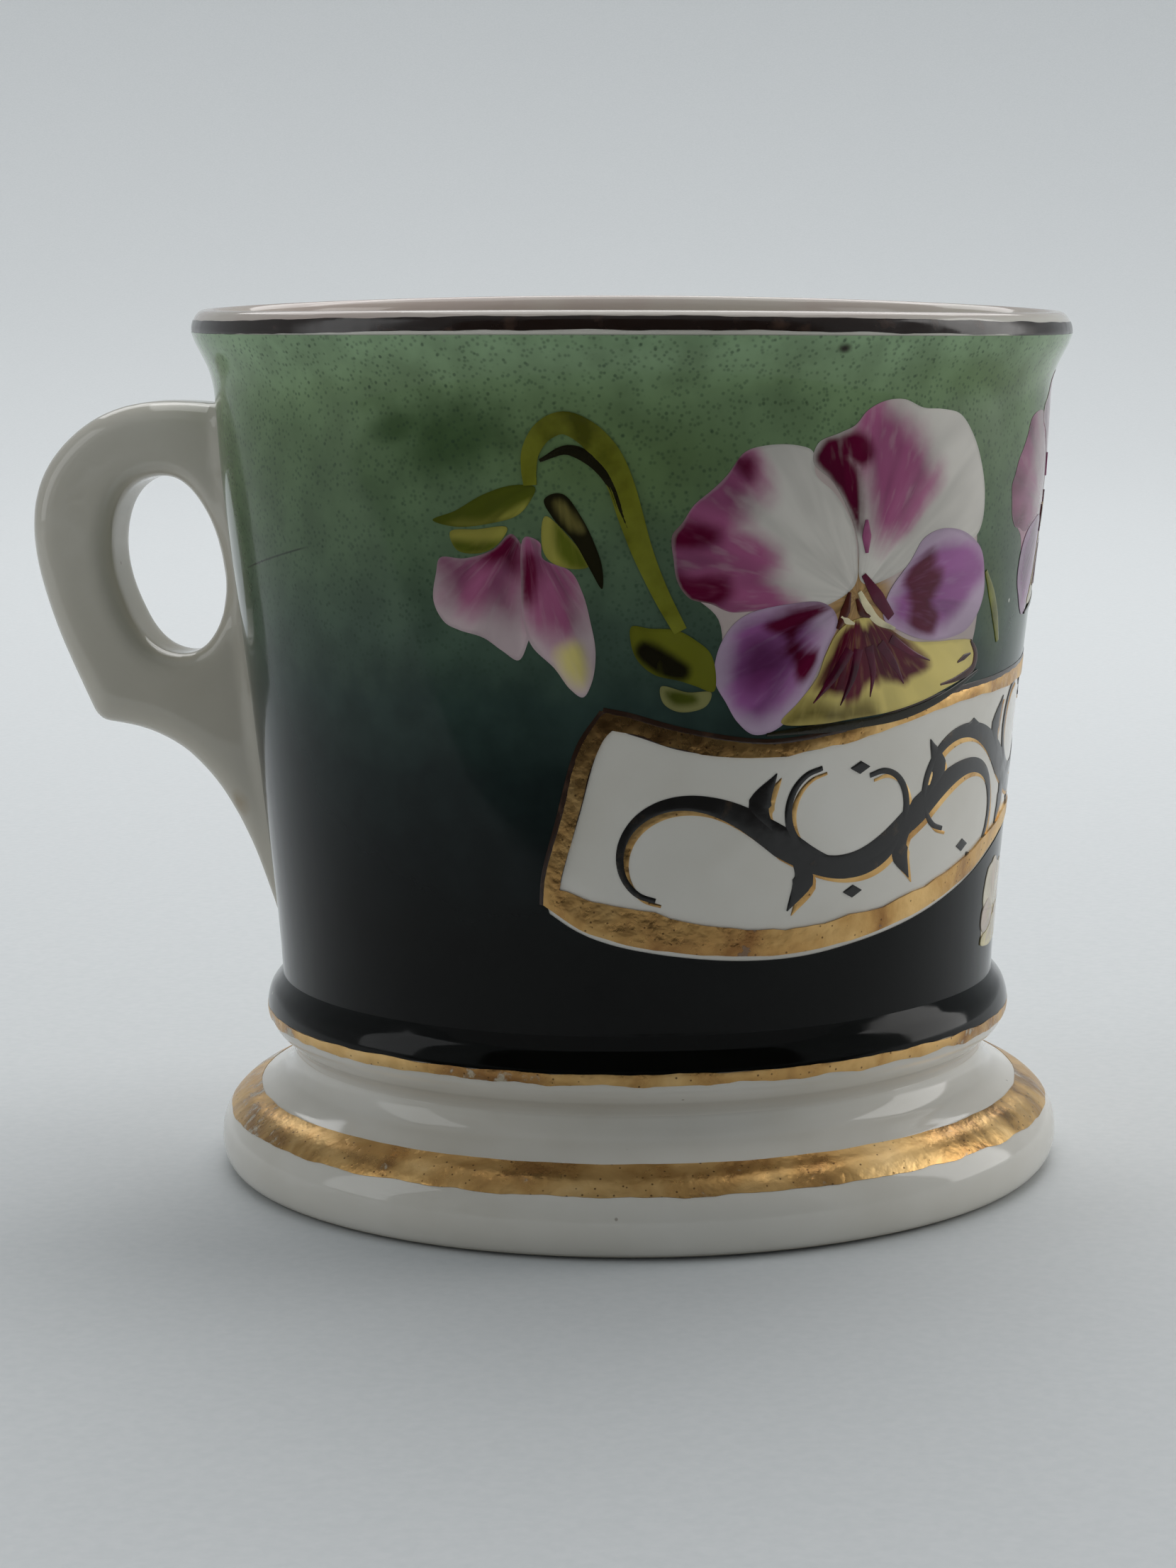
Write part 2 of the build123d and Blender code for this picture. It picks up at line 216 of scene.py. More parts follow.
# ------------------------------------------------------------------ materials
# Colours are linear.  The scales of noise and cells are in cells per metre, except along the
# streaks of a petal.  Heights and angles in materials are millimetres and degrees on the wall.
class Nodes:
    """One node material.  Each method adds a node and gives back its output."""

    def __init__(self, name):
        self.material = bpy.data.materials.new(name)
        self.material.use_nodes = True
        self.tree = self.material.node_tree
        self.tree.nodes.clear()
        self.place = None

    def add(self, kind, inputs, **settings):
        node = self.tree.nodes.new("ShaderNode" + kind)
        for name, value in settings.items():
            setattr(node, name, value)
        for socket, value in inputs.items():
            self.feed(node.inputs[socket], value)
        return node

    def feed(self, socket, value):
        if isinstance(value, bpy.types.NodeSocket):
            self.tree.links.new(value, socket)
        elif isinstance(value, tuple) and len(value) == 3 and socket.type == "RGBA":
            socket.default_value = (*value, 1.0)
        else:
            socket.default_value = value

    def position(self):
        """Where a point is on the mug, in metres."""
        if self.place is None:
            self.place = self.add("TexCoord", {}).outputs["Object"]
        return self.place

    def math(self, operation, a, b=0.0, clamp=False):
        return self.add("Math", {0: a, 1: b}, operation=operation, use_clamp=clamp).outputs[0]

    def times(self, a, b):
        return self.math("MULTIPLY", a, b)

    def plus(self, a, b):
        return self.math("ADD", a, b)

    def minus(self, a, b):
        return self.math("SUBTRACT", a, b)

    def wander(self, value, amount):
        """A noise value centred on zero and scaled."""
        return self.times(self.minus(value, 0.5), amount)

    def attribute(self, name):
        return self.add("Attribute", {}, attribute_name=name).outputs["Fac"]

    def noise(self, vector, scale, detail=2.0, distortion=0.0):
        return self.add("TexNoise", {"Vector": vector, "Scale": scale, "Detail": detail,
                                     "Distortion": distortion}).outputs["Fac"]

    def cells(self, vector, scale):
        """Distance to the nearest of many scattered points, in cell widths."""
        return self.add("TexVoronoi", {"Vector": vector, "Scale": scale}).outputs["Distance"]

    def rise(self, value, low, high, bottom=0.0, top=1.0):
        """A smooth step from bottom to top while value goes from low to high."""
        return self.add("MapRange", {0: value, 1: low, 2: high, 3: bottom, 4: top},
                        interpolation_type="SMOOTHSTEP").outputs[0]

    def ramp(self, value, stops):
        """Colours at places between 0 and 1, blended smoothly."""
        node = self.add("ValToRGB", {0: value})
        elements = node.color_ramp.elements
        while len(elements) < len(stops):
            elements.new(0.5)
        for element, (place, colour) in zip(elements, stops):
            element.position = place
            element.color = (*colour, 1.0)
        return node.outputs["Color"]

    def shades(self, value, colour, stops):
        """One colour made darker and lighter; stops are places and the brightness there."""
        return self.ramp(value, [(place, tuple(min(1.0, share * c) for c in colour))
                                 for place, share in stops])

    def mix(self, share, under, over, blend="MIX"):
        node = self.add("Mix", {}, data_type="RGBA", blend_type=blend)
        for socket, value in ((0, share), (6, under), (7, over)):
            self.feed(node.inputs[socket], value)
        return node.outputs[2]

    def tint(self, colour, value, low, high):
        """A colour that is made darker or lighter by a noise value."""
        shade = self.rise(value, 0.25, 0.75, low, high)
        grey = self.add("CombineXYZ", {0: shade, 1: shade, 2: shade}).outputs[0]
        return self.mix(1.0, colour, grey, "MULTIPLY")

    def wall_angle(self):
        """Angle round the mug in degrees, and height in millimetres."""
        parts = self.add("SeparateXYZ", {0: self.position()}).outputs
        turn = self.math("ARCTAN2", parts[1], parts[0])
        return self.times(turn, 180.0 / math.pi), self.times(parts[2], 1000.0)

    def blob(self, angle, height, middle, reach, tilt=0.0, rough=None):
        """1 in the middle of an oval on the wall and 0 outside it, with a soft edge."""
        across = self.times(self.minus(angle, middle[0]), DEGREE_WIDTH)
        upward = self.minus(height, middle[1])
        cosine, sine = math.cos(math.radians(tilt)), math.sin(math.radians(tilt))
        along = self.plus(self.times(across, cosine), self.times(upward, sine))
        beside = self.minus(self.times(upward, cosine), self.times(across, sine))
        far = self.math("SQRT", self.plus(self.math("POWER", self.math("DIVIDE", along, reach[0]), 2.0),
                                          self.math("POWER", self.math("DIVIDE", beside, reach[1]), 2.0)))
        if rough is not None:
            far = self.plus(far, self.wander(rough, 0.5))
        return self.rise(far, 1.0, 0.15)

    def finish(self, colour, roughness, metallic=0.0, bump=None, shine=0.5):
        """The shader.  bump is (height output, strength, depth in metres); shine is how much
        the surface mirrors, 0.5 for clear glaze."""
        inputs = {"Base Color": colour, "Roughness": roughness, "Metallic": metallic, "IOR": 1.5,
                  "Specular IOR Level": shine}
        if bump is not None:
            inputs["Normal"] = self.add("Bump", {"Height": bump[0], "Strength": bump[1],
                                                 "Distance": bump[2]}).outputs[0]
        shader = self.add("BsdfPrincipled", inputs)
        self.add("OutputMaterial", {0: shader.outputs[0]})
        return self.material


# ------------------------------------------------------------------ the wall and things laid on it
WELD = 1e-6                                   # points nearer than this are one point, m
WALL_RADIUS = 41.0                            # used to unroll the wall into a flat drawing, mm
DEGREE_WIDTH = math.radians(1.0) * WALL_RADIUS
WALL_HEIGHTS = np.array([20.6, 40.0, 58.5, 72.5, 81.6, 84.9, 88.4])
WALL_RADII = np.array([37.95, 39.6, 41.55, 43.05, 43.6, 44.35, 45.9])
WALL_SLOPES = np.array([0.03, 0.103, 0.112, 0.09, 0.06, 0.42, 0.2])
COAT = 0.12                                   # thickness of the ground colour, mm
LIP_CENTRE = (44.45, 88.4)
LIP_HALF_WIDTH = 1.45
LIP_CROWN = 2.1


def wall_radius(angles, heights):
    """Radius of the glaze in mm, with the slight waviness of a cast and fired body."""
    heights = np.asarray(heights, float)
    cell = np.clip(np.searchsorted(WALL_HEIGHTS, heights) - 1, 0, len(WALL_HEIGHTS) - 2)
    width = WALL_HEIGHTS[cell + 1] - WALL_HEIGHTS[cell]
    t = np.clip((heights - WALL_HEIGHTS[cell]) / width, 0.0, 1.0)
    radius = ((2 * t**3 - 3 * t**2 + 1) * WALL_RADII[cell]
              + (t**3 - 2 * t**2 + t) * width * WALL_SLOPES[cell]
              + (3 * t**2 - 2 * t**3) * WALL_RADII[cell + 1]
              + (t**3 - t**2) * width * WALL_SLOPES[cell + 1])
    return radius + waviness(angles, heights)


def waviness(angles, heights):
    """How far the fired body is out of true, in mm."""
    turn = np.radians(np.asarray(angles, float))
    share = np.clip(np.asarray(heights, float) / 90.0, 0.0, 1.0)
    return (0.10 * np.sin(2 * turn + 0.7) * share + 0.035 * np.sin(5 * turn + 9.0 * share)
            + 0.02 * np.sin(9 * turn - 14.0 * share))


def rim_warp(angles, heights):
    """How far the rim has sunk or risen in firing, in mm; nothing below the flare."""
    share = np.clip((np.asarray(heights, float) - 76.0) / 14.0, 0.0, 1.0)
    share = share * share * (3.0 - 2.0 * share)
    turn = np.radians(np.asarray(angles, float) - 99.0)
    return share * (0.15 + 0.5 * np.cos(turn) + 0.55 * np.sin(turn) + 0.4 * np.cos(2.0 * turn))


def on_wall(angles, heights, proud):
    """Points in metres at angles and heights on the wall, proud mm outside the glaze."""
    radius = wall_radius(angles, heights) + proud
    turn = np.radians(angles)
    return np.column_stack([radius * np.cos(turn), radius * np.sin(turn),
                            heights + rim_warp(angles, heights)]) * MM


def unroll(spots):
    """Angles and heights as flat millimetres."""
    return np.asarray(spots, float) * (DEGREE_WIDTH, 1.0)


def lathe(name, outline, around):
    """Turns an outline of (radius, height) round the axis.  Its ends lie on the axis, or
    it is closed when its first point comes again at its end."""
    outline = np.array(outline, float)
    ring = np.allclose(outline[0], outline[-1])
    if ring:
        outline = outline[:-1]
    turns = np.linspace(-180.0, 180.0, around, endpoint=False)
    verts, rows = [], []
    for radius, height in outline:
        if radius < 1e-6:
            rows.append([len(verts)] * around)
            verts.append((0.0, 0.0, height * MM))
            continue
        shift = (radius + waviness(turns, height)) * MM
        rows.append(range(len(verts), len(verts) + around))
        level = (height + rim_warp(turns, height)) * MM
        verts.extend(zip(shift * np.cos(np.radians(turns)), shift * np.sin(np.radians(turns)), level))
    faces = []
    pairs = list(zip(rows, rows[1:]))
    if ring:
        pairs.append((rows[-1], rows[0]))
    for low, high in pairs:
        for i in range(around):
            after = (i + 1) % around
            faces.append(tuple(dict.fromkeys((low[i], low[after], high[after], high[i]))))
    return object_from(name, verts, faces)


def densify(line, spacing, closed=False):
    """The same line with points no further apart than spacing."""
    line = np.asarray(line, float)
    ends = np.vstack([line[1:], line[:1]]) if closed else line[1:]
    found = []
    for a, b in zip(line, ends):
        parts = max(1, int(math.ceil(np.linalg.norm(b - a) / spacing)))
        found.extend(a + (b - a) * np.arange(parts)[:, None] / parts)
    if not closed:
        found.append(line[-1])
    return np.array(found)


def inside(points, outline):
    """Which points lie inside a closed outline."""
    hits = np.zeros(len(points), bool)
    x, y = points[:, 0], points[:, 1]
    for (x0, y0), (x1, y1) in zip(outline, np.roll(outline, -1, axis=0)):
        if y0 == y1:
            continue
        crosses = (y0 > y) != (y1 > y)
        hits ^= crosses & (x < (x1 - x0) * (y - y0) / (y1 - y0) + x0)
    return hits


def depth_in(points, outline):
    """How far inside a closed outline each point is; outside it the depth is negative."""
    best = np.full(len(points), np.inf)
    for a, b in zip(outline, np.roll(outline, -1, axis=0)):
        run = b - a
        share = np.clip(((points - a) @ run) / max(run @ run, 1e-12), 0.0, 1.0)
        best = np.minimum(best, np.linalg.norm(points - a - share[:, None] * run, axis=1))
    return np.where(inside(points, outline), best, -best)


def closed_curve(spots):
    """A smooth closed outline through angles and heights, as flat millimetres."""
    return smooth(unroll(spots), 7, closed=True)


def within(points, loops):
    """Which points lie inside the first closed outline and outside the others."""
    keep = inside(points, loops[0])
    for hole in loops[1:]:
        keep &= ~inside(points, hole)
    return keep


ROW_STEP = 0.87        # rows of a triangle grid, in spacings
EDGE_CLEAR = 0.55      # grid points nearer to an outline than this many spacings are left out
BATCH = 2000           # points measured at a time
MERGE = 1e-7           # outline points nearer than this are one point, mm


def filled(loops, spacing):
    """Flat points and triangles that fill the first outline around the others."""
    low, high = loops[0].min(0), loops[0].max(0)
    rows = np.arange(low[1], high[1], spacing * ROW_STEP)
    grid = np.array([(x + (i % 2) * spacing / 2, y) for i, y in enumerate(rows)
                     for x in np.arange(low[0], high[0], spacing)])
    grid = grid[within(grid, loops)]
    edge = np.vstack(loops)
    clear = np.full(len(grid), True)
    for start in range(0, len(grid), BATCH):
        part = slice(start, start + BATCH)
        gap = ((grid[part, None, :] - edge[None, :, :])**2).sum(2).min(1)
        clear[part] = gap > (EDGE_CLEAR * spacing)**2
    rims, count = [], 0
    for loop in loops:
        rims += [(count + i, count + (i + 1) % len(loop)) for i in range(len(loop))]
        count += len(loop)
    points = [Vector(p) for p in np.vstack([edge, grid[clear]])]
    flat, _, triangles, *_ = delaunay_2d_cdt(points, rims, [], 0, MERGE)
    flat = np.array([(p.x, p.y) for p in flat])
    triangles = np.array([t for t in triangles if len(t) == 3])
    triangles = triangles[within(flat[triangles].mean(axis=1), loops)]
    used = np.unique(triangles)
    renumber = np.full(len(flat), -1)
    renumber[used] = np.arange(len(used))
    return flat[used], renumber[triangles]


def sheet(name, outline, spacing, bottom, top, holes=(), swell=None, wrap=False):
    """A thin closed sheet on the wall.  outline and holes are flat millimetres; bottom and
    top are its distances from the glaze; swell(depth) adds to the top; wrap joins the
    sheet's two ends behind the mug."""
    loops = [densify(line, spacing, closed=True) for line in (outline, *holes)]
    flat, triangles = filled(loops, spacing)
    lift = np.full(len(flat), top)
    if swell is not None:
        lift = lift + swell(np.abs(depth_in(flat, loops[0])))
    angles, heights = flat[:, 0] / DEGREE_WIDTH, flat[:, 1]
    upper = on_wall(angles, heights, lift)
    lower = on_wall(angles, heights, np.full(len(flat), bottom))
    seam = np.full(len(flat), False)
    if wrap:
        seam = np.abs(flat[:, 0]) > 180.0 * DEGREE_WIDTH - WELD
    return shell(name, upper, lower, triangles, seam)


def shell(name, upper, lower, triangles, seam):
    """A closed thin solid from matching outer and inner points and the outer triangles.
    Points marked as seam meet other points of the same sheet, so no edge wall is made there."""
    count = len(upper)
    edges = dict.fromkeys(pair for a, b, c in triangles for pair in ((a, b), (b, c), (c, a)))
    rim = [(a, b) for a, b in edges if (b, a) not in edges and not (seam[a] and seam[b])]
    faces = [tuple(t) for t in triangles] + [(c + count, b + count, a + count) for a, b, c in triangles]
    faces += [(b, a, a + count, b + count) for a, b in rim]
    mesh = bpy.data.meshes.new(name)
    mesh.from_pydata(np.vstack([upper, lower]).tolist(), [], [tuple(int(i) for i in f) for f in faces])
    maker = bmesh.new()
    maker.from_mesh(mesh)
    bpy.data.meshes.remove(mesh)
    bmesh.ops.remove_doubles(maker, verts=maker.verts[:], dist=WELD)
    return new_object(name, maker)


def flat_corners(piece):
    """The corners of a sheet as flat millimetres."""
    corners = np.empty(len(piece.data.vertices) * 3, np.float32)
    piece.data.vertices.foreach_get("co", corners)
    corners = corners.reshape(-1, 3) / MM
    angles = np.degrees(np.arctan2(corners[:, 1], corners[:, 0]))
    return np.column_stack([angles * DEGREE_WIDTH, corners[:, 2]])


def paint_depths(piece, zones):
    """Stores, at every corner of a sheet, how deep it lies inside each named outline."""
    flat = flat_corners(piece)
    for name, outline in zones.items():
        layer = piece.data.attributes.new(name, "FLOAT", "POINT")
        layer.data.foreach_set("value", depth_in(flat, outline).astype(np.float32))


def strokes(name, lines, bottom, top, crown=0.03, steps=6):
    """Brush strokes on the wall.  Each line is its points, as angles and heights, and the
    widths in mm at places spread evenly along it."""
    verts, faces = [], []
    across = np.array([-1.0, -0.8, -0.4, 0.0, 0.4, 0.8, 1.0])
    wide = len(across)
    dome = crown * np.sqrt(1.0 - across**2)
    for points, widths in lines:
        path = smooth(unroll(points), steps)
        gaps = np.linalg.norm(np.diff(path, axis=0), axis=1)
        along = np.concatenate([[0.0], np.cumsum(gaps)]) / gaps.sum()
        half = np.interp(along, np.linspace(0.0, 1.0, len(widths)), widths) / 2
        ahead = np.gradient(path, axis=0)
        ahead /= np.linalg.norm(ahead, axis=1)[:, None]
        side = np.column_stack([-ahead[:, 1], ahead[:, 0]])
        flat = path[:, None, :] + side[:, None, :] * (half[:, None, None] * across[None, :, None])
        flat = flat.reshape(-1, 2)
        rise = np.tile(dome, len(path))
        first = len(verts)
        verts += list(on_wall(flat[:, 0] / DEGREE_WIDTH, flat[:, 1], top + rise))
        under = len(verts)
        verts += list(on_wall(flat[:, 0] / DEGREE_WIDTH, flat[:, 1], np.full(len(flat), bottom)))
        depth = under - first
        for i in range(len(path) - 1):
            for j in range(wide):
                a, b = first + i * wide + j, first + (i + 1) * wide + j
                if j < wide - 1:
                    faces += [(a, b, b + 1, a + 1), (a + 1 + depth, b + 1 + depth, b + depth, a + depth)]
                if j in (0, wide - 1):
                    faces.append((a, a + depth, b + depth, b))
        for i in (0, len(path) - 1):
            for a in range(first + i * wide, first + (i + 1) * wide - 1):
                faces.append((a, a + 1, a + 1 + depth, a + depth))
    return object_from(name, verts, faces)


def belong(piece, slot, material, *nodes):
    """Gives a piece its place in the frame, its finish and the CAD nodes it stands for."""
    piece.data.materials.clear()
    piece.data.materials.append(material)
    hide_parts(*nodes)
    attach(piece, BODY)
    return piece


# ------------------------------------------------------------------ porcelain
CUP_SIDES = 380
FOOT_SIDES = 480
HANDLE_GRAIN = 0.4     # size of the cells that the handle is rebuilt from, mm
SLIP_REACH = 2.2       # how far from the wall the smoothed slip begins, mm
SLIP_STEEPEST = 0.90   # the slip's curve stops here, so that it meets the wall at an angle
ROOT_SKIN = 0.5        # points of the handle nearer the wall than this are sunk into it, mm
ROOT_DEPTH = 1.2       # how deep they are sunk, mm
TAIL_TAPER = (52.0, 20.0, 0.42)   # the tail thins between these heights by this share


def lip_arc(start, end, steps):
    """Points on the half ellipse on top of the wall, between two of its angles."""
    turns = np.radians(np.linspace(start, end, steps))
    return np.column_stack([LIP_CENTRE[0] + LIP_HALF_WIDTH * np.cos(turns),
                            LIP_CENTRE[1] + LIP_CROWN * np.sin(turns)])


def wall_line(low, high, spacing=0.8):
    """The mean outside of the cup between two heights, as (radius, height)."""
    heights = np.linspace(low, high, int((high - low) / spacing) + 2)
    radii = wall_radius(np.zeros_like(heights), heights) - waviness(np.zeros_like(heights), heights)
    return np.column_stack([radii, heights])


BEAD = smooth([(37.1, 12.4), (37.35, 13.4), (38.0, 14.0), (39.05, 15.0), (39.6, 16.4), (39.62, 17.6),
               (39.2, 19.0), (38.5, 19.95), (37.95, 20.6)], 7)
INSIDE = smooth([(43.0, 88.4), (42.3, 86.9), (41.0, 84.0), (40.0, 76.0), (37.7, 55.0), (35.0, 33.0),
                 (34.2, 26.5), (32.6, 21.9), (29.4, 18.7), (25.2, 17.6), (12.0, 17.55), (0.0, 17.5)], 8)
FOOT = smooth([(37.1, 12.4), (37.35, 11.2), (38.0, 10.2), (39.0, 9.5), (40.0, 8.9), (40.75, 8.5),
               (41.1, 8.25), (41.5, 8.1), (42.6, 7.5), (43.85, 6.3), (44.7, 4.9), (45.0, 3.2), (44.9, 1.9),
               (44.45, 0.8), (43.9, 0.25), (43.3, 0.0)], 6)
BEAD_LENGTH = float(np.linalg.norm(np.diff(BEAD, axis=0), axis=1).sum())
FOOT_HOLLOW = smooth([(41.3, 0.0), (40.7, 0.35), (39.6, 2.2), (35.4, 7.6), (32.6, 12.4)], 6)


def make_cup():
    """The cup: bead, wall, flared lip, inside and underside."""
    outline = np.vstack([[(0.0, 12.4), (12.0, 12.4), (24.0, 12.4)], BEAD[:-1], wall_line(20.6, 88.3),
                         lip_arc(0.0, 180.0, 25), INSIDE[1:]])
    return lathe("cup_body", outline, CUP_SIDES)


def make_foot():
    """The spreading foot with its hollow underside."""
    return lathe("pedestal_foot", np.vstack([FOOT, FOOT_HOLLOW, [(34.8, 12.4)], FOOT[:1]]), FOOT_SIDES)


def relax(maker, times):
    """Softens every edge of a mesh a little, as many times as asked."""
    for _ in range(times):
        bmesh.ops.smooth_vert(maker, verts=maker.verts[:], factor=0.5, use_axis_x=True, use_axis_y=True,
                              use_axis_z=True)


def make_handle():
    """The loop handle, softened as fired clay is, with slip smoothed into its roots."""
    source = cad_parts["loop_handle"]
    handle = bpy.data.objects.new("loop_handle_soft", source.data.copy())
    bpy.context.scene.collection.objects.link(handle)
    grain = handle.modifiers.new("grain", "REMESH")
    grain.mode = "VOXEL"
    grain.voxel_size = HANDLE_GRAIN * MM
    mesh = bpy.data.meshes.new_from_object(handle.evaluated_get(bpy.context.evaluated_depsgraph_get()))
    handle.modifiers.clear()
    handle.data = mesh
    maker = bmesh.new()
    maker.from_mesh(mesh)
    relax(maker, 3)
    maker.normal_update()
    for vert in maker.verts:
        spot = vert.co / MM
        outward = Vector((spot.x, spot.y, 0.0)).normalized()
        turn = math.degrees(math.atan2(spot.y, spot.x))
        gap = math.hypot(spot.x, spot.y) - float(wall_radius([turn], [spot.z])[0])
        level = vert.normal - vert.normal.dot(outward) * outward
        near = min(max(1.0 - gap / SLIP_REACH, 0.0), SLIP_STEEPEST)
        slip = SLIP_REACH * (1.0 - math.sqrt(1.0 - near**2))
        sunk = outward * (-ROOT_DEPTH * min(max((ROOT_SKIN - gap) / ROOT_SKIN, 0.0), 1.0))
        # The surface is a little uneven, as it is when a casting is trimmed and wiped by hand.
        hand = 0.10 * noise.noise(spot * 0.11) + 0.035 * noise.noise(spot * 0.35)
        vert.co += (level * slip + sunk + vert.normal * hand) * MM
        start, end, thinning = TAIL_TAPER
        low = min(max((start - spot.z) / (start - end), 0.0), 1.0)
        vert.co.y *= 1.0 - thinning * low * low * (3.0 - 2.0 * low)
    relax(maker, 4)
    maker.to_mesh(mesh)
    maker.free()
    mesh.shade_smooth()
    return handle


def porcelain(name, stain_and_shade):
    """Glossy warm white glaze with fine specks and faint clouds.  A piece with stains also has old brown
    spots, and painted shade: its glaze is made darker and warmer all over, most towards its lower end."""
    paint = Nodes(name)
    place = paint.position()
    _, height = paint.wall_angle()
    clouds = paint.noise(place, 55.0, 3.0)
    colour = paint.ramp(clouds, [(0.30, (0.66, 0.62, 0.545)), (0.5, (0.715, 0.68, 0.61)),
                                 (0.72, (0.76, 0.73, 0.67))])
    # Painted shade: the whole piece is darkened and warmed, most towards its lower end, where the handle lies
    # in shade.
    if stain_and_shade:
        colour = paint.mix(paint.rise(height, 82.0, 50.0, 0.30, 0.62), colour, (0.42, 0.385, 0.300))
    specks = paint.plus(paint.cells(place, 330.0), paint.rise(paint.noise(place, 75.0, 1.0), 0.66, 0.5))
    colour = paint.mix(paint.rise(specks, 0.085, 0.05, 0.0, 0.6), colour, (0.20, 0.15, 0.10))
    ragged = paint.wander(paint.noise(place, 420.0, 3.0), 0.22)
    spots = paint.rise(paint.plus(paint.cells(place, 105.0), ragged), 0.20, 0.02, 0.0, stain_and_shade)
    stain = paint.times(spots, paint.rise(paint.noise(place, 60.0, 1.0), 0.42, 0.56))
    colour = paint.mix(stain, colour, (0.36, 0.27, 0.16))
    worn = paint.times(paint.rise(height, 89.0, 89.9), paint.rise(clouds, 0.3, 0.6, 0.25, 0.7))
    colour = paint.mix(worn, colour, (0.50, 0.38, 0.34))
    bare = paint.rise(height, 0.55, 0.2)
    colour = paint.mix(bare, colour, (0.55, 0.50, 0.42))
    groove = paint.times(paint.rise(height, 12.0, 12.9), paint.rise(height, 14.4, 13.4))
    colour = paint.mix(paint.times(groove, 0.35), colour, (0.36, 0.30, 0.22))
    rough = paint.plus(paint.rise(clouds, 0.3, 0.7, 0.05, 0.11), paint.times(bare, 0.5))
    return paint.finish(colour, rough, bump=(paint.noise(place, 130.0, 2.0), 0.10, 0.0004))


# ------------------------------------------------------------------ ground colour
GROUND_LOW = 20.6
GROUND_HIGH = 88.25
GROUND_SHADES = [(20.0, (0.0025, 0.0026, 0.0020)), (30.0, (0.0030, 0.0036, 0.0030)),
                 (38.0, (0.0060, 0.0090, 0.0088)), (46.0, (0.0120, 0.0200, 0.0185)),
                 (53.0, (0.028, 0.048, 0.040)), (60.0, (0.060, 0.095, 0.066)),
                 (68.0, (0.094, 0.144, 0.080)), (76.0, (0.125, 0.190, 0.094)),
                 (83.0, (0.175, 0.262, 0.130)), (88.0, (0.250, 0.370, 0.210))]
# Darker and yellower clouds, as middle, reach, slope, strength and colour.
HAZES = [
    ((-104.0, 78.8), (8.0, 5.4), 12.0, 0.8, (0.04, 0.078, 0.026)),
    ((-112.0, 79.8), (5.4, 2.2), 12.0, 0.7, (0.04, 0.078, 0.026)),
    ((-30.0, 84.0), (13.0, 3.0), -4.0, 0.5, (0.085, 0.14, 0.04)),
    ((-22.0, 61.0), (4.0, 9.0), 20.0, 0.4, (0.085, 0.12, 0.03)),
    ((30.0, 74.0), (16.0, 8.0), 14.0, 0.45, (0.105, 0.165, 0.05)),
    ((38.0, 79.0), (5.5, 3.0), -20.0, 0.6, (0.034, 0.07, 0.022))]
# Sprayed dots: cells per metre, distance at which they end and begin, and strength.
STIPPLE = ((1700.0, 0.44, 0.12, 0.42), (820.0, 0.20, 0.07, 0.55))
RAMP_LOW = 15.0
RAMP_HEIGHT = 75.0


def ground_colour(paint, angle, height):
    """The airbrushed ground: almost black at the bottom through teal to pale green."""
    place = paint.position()
    clouds = paint.noise(place, 42.0, 3.0)
    mottle = paint.noise(place, 210.0, 4.0)
    drift = paint.wander(clouds, 5.0)
    spray = paint.wander(mottle, 3.5)
    level = paint.plus(height, paint.plus(drift, spray))
    share = paint.math("DIVIDE", paint.minus(level, RAMP_LOW), RAMP_HEIGHT, clamp=True)
    colour = paint.ramp(share, [((z - RAMP_LOW) / RAMP_HEIGHT, shade) for z, shade in GROUND_SHADES])
    haze = paint.blob(angle, height, (-84.0, 77.0), (17.0, 8.5), -8.0, clouds)
    colour = paint.mix(paint.times(haze, 0.45), colour, (0.110, 0.170, 0.050))
    for middle, reach, tilt, depth, shade in HAZES:
        spot = paint.blob(angle, height, middle, reach, tilt, mottle)
        colour = paint.mix(paint.times(spot, depth), colour, shade)
    sprayed = paint.rise(height, 46.0, 62.0)
    for size, low, high, depth in STIPPLE:
        dots = paint.times(paint.rise(paint.cells(place, size), low, high, 0.0, depth), sprayed)
        colour = paint.mix(dots, colour, (0.030, 0.055, 0.034))
    return paint.tint(colour, mottle, 0.86, 1.14)


def ground_material():
    """The ground colour with chips, one long scratch and one chip below the rim."""
    paint = Nodes("ground_enamel")
    angle, height = paint.wall_angle()
    colour = ground_colour(paint, angle, height)
    place = paint.position()
    chips = paint.rise(paint.cells(place, 210.0), 0.055, 0.035)
    chosen = paint.rise(paint.noise(place, 120.0, 1.0), 0.60, 0.66)
    colour = paint.mix(paint.times(chips, chosen), colour, (0.45, 0.46, 0.40))
    slope = paint.minus(height, paint.times(angle, 0.155))
    span = paint.times(paint.rise(angle, -150.0, -146.0), paint.rise(angle, -128.0, -132.0))
    scratch = paint.times(paint.rise(paint.math("ABSOLUTE", paint.minus(slope, 87.8)), 0.14, 0.04), span)
    colour = paint.mix(paint.times(scratch, 0.7), colour, (0.020, 0.024, 0.018))
    chip = paint.blob(angle, height, (-55.0, 86.8), (0.95, 0.75), 0.0, paint.noise(place, 900.0, 2.0))
    colour = paint.mix(chip, colour, (0.028, 0.022, 0.016))
    ripple = paint.noise(place, 150.0, 3.0)
    rough = paint.rise(paint.noise(place, 320.0, 3.0), 0.3, 0.7, 0.06, 0.14)
    return paint.finish(colour, rough, bump=(ripple, 0.05, 0.0004), shine=0.16)


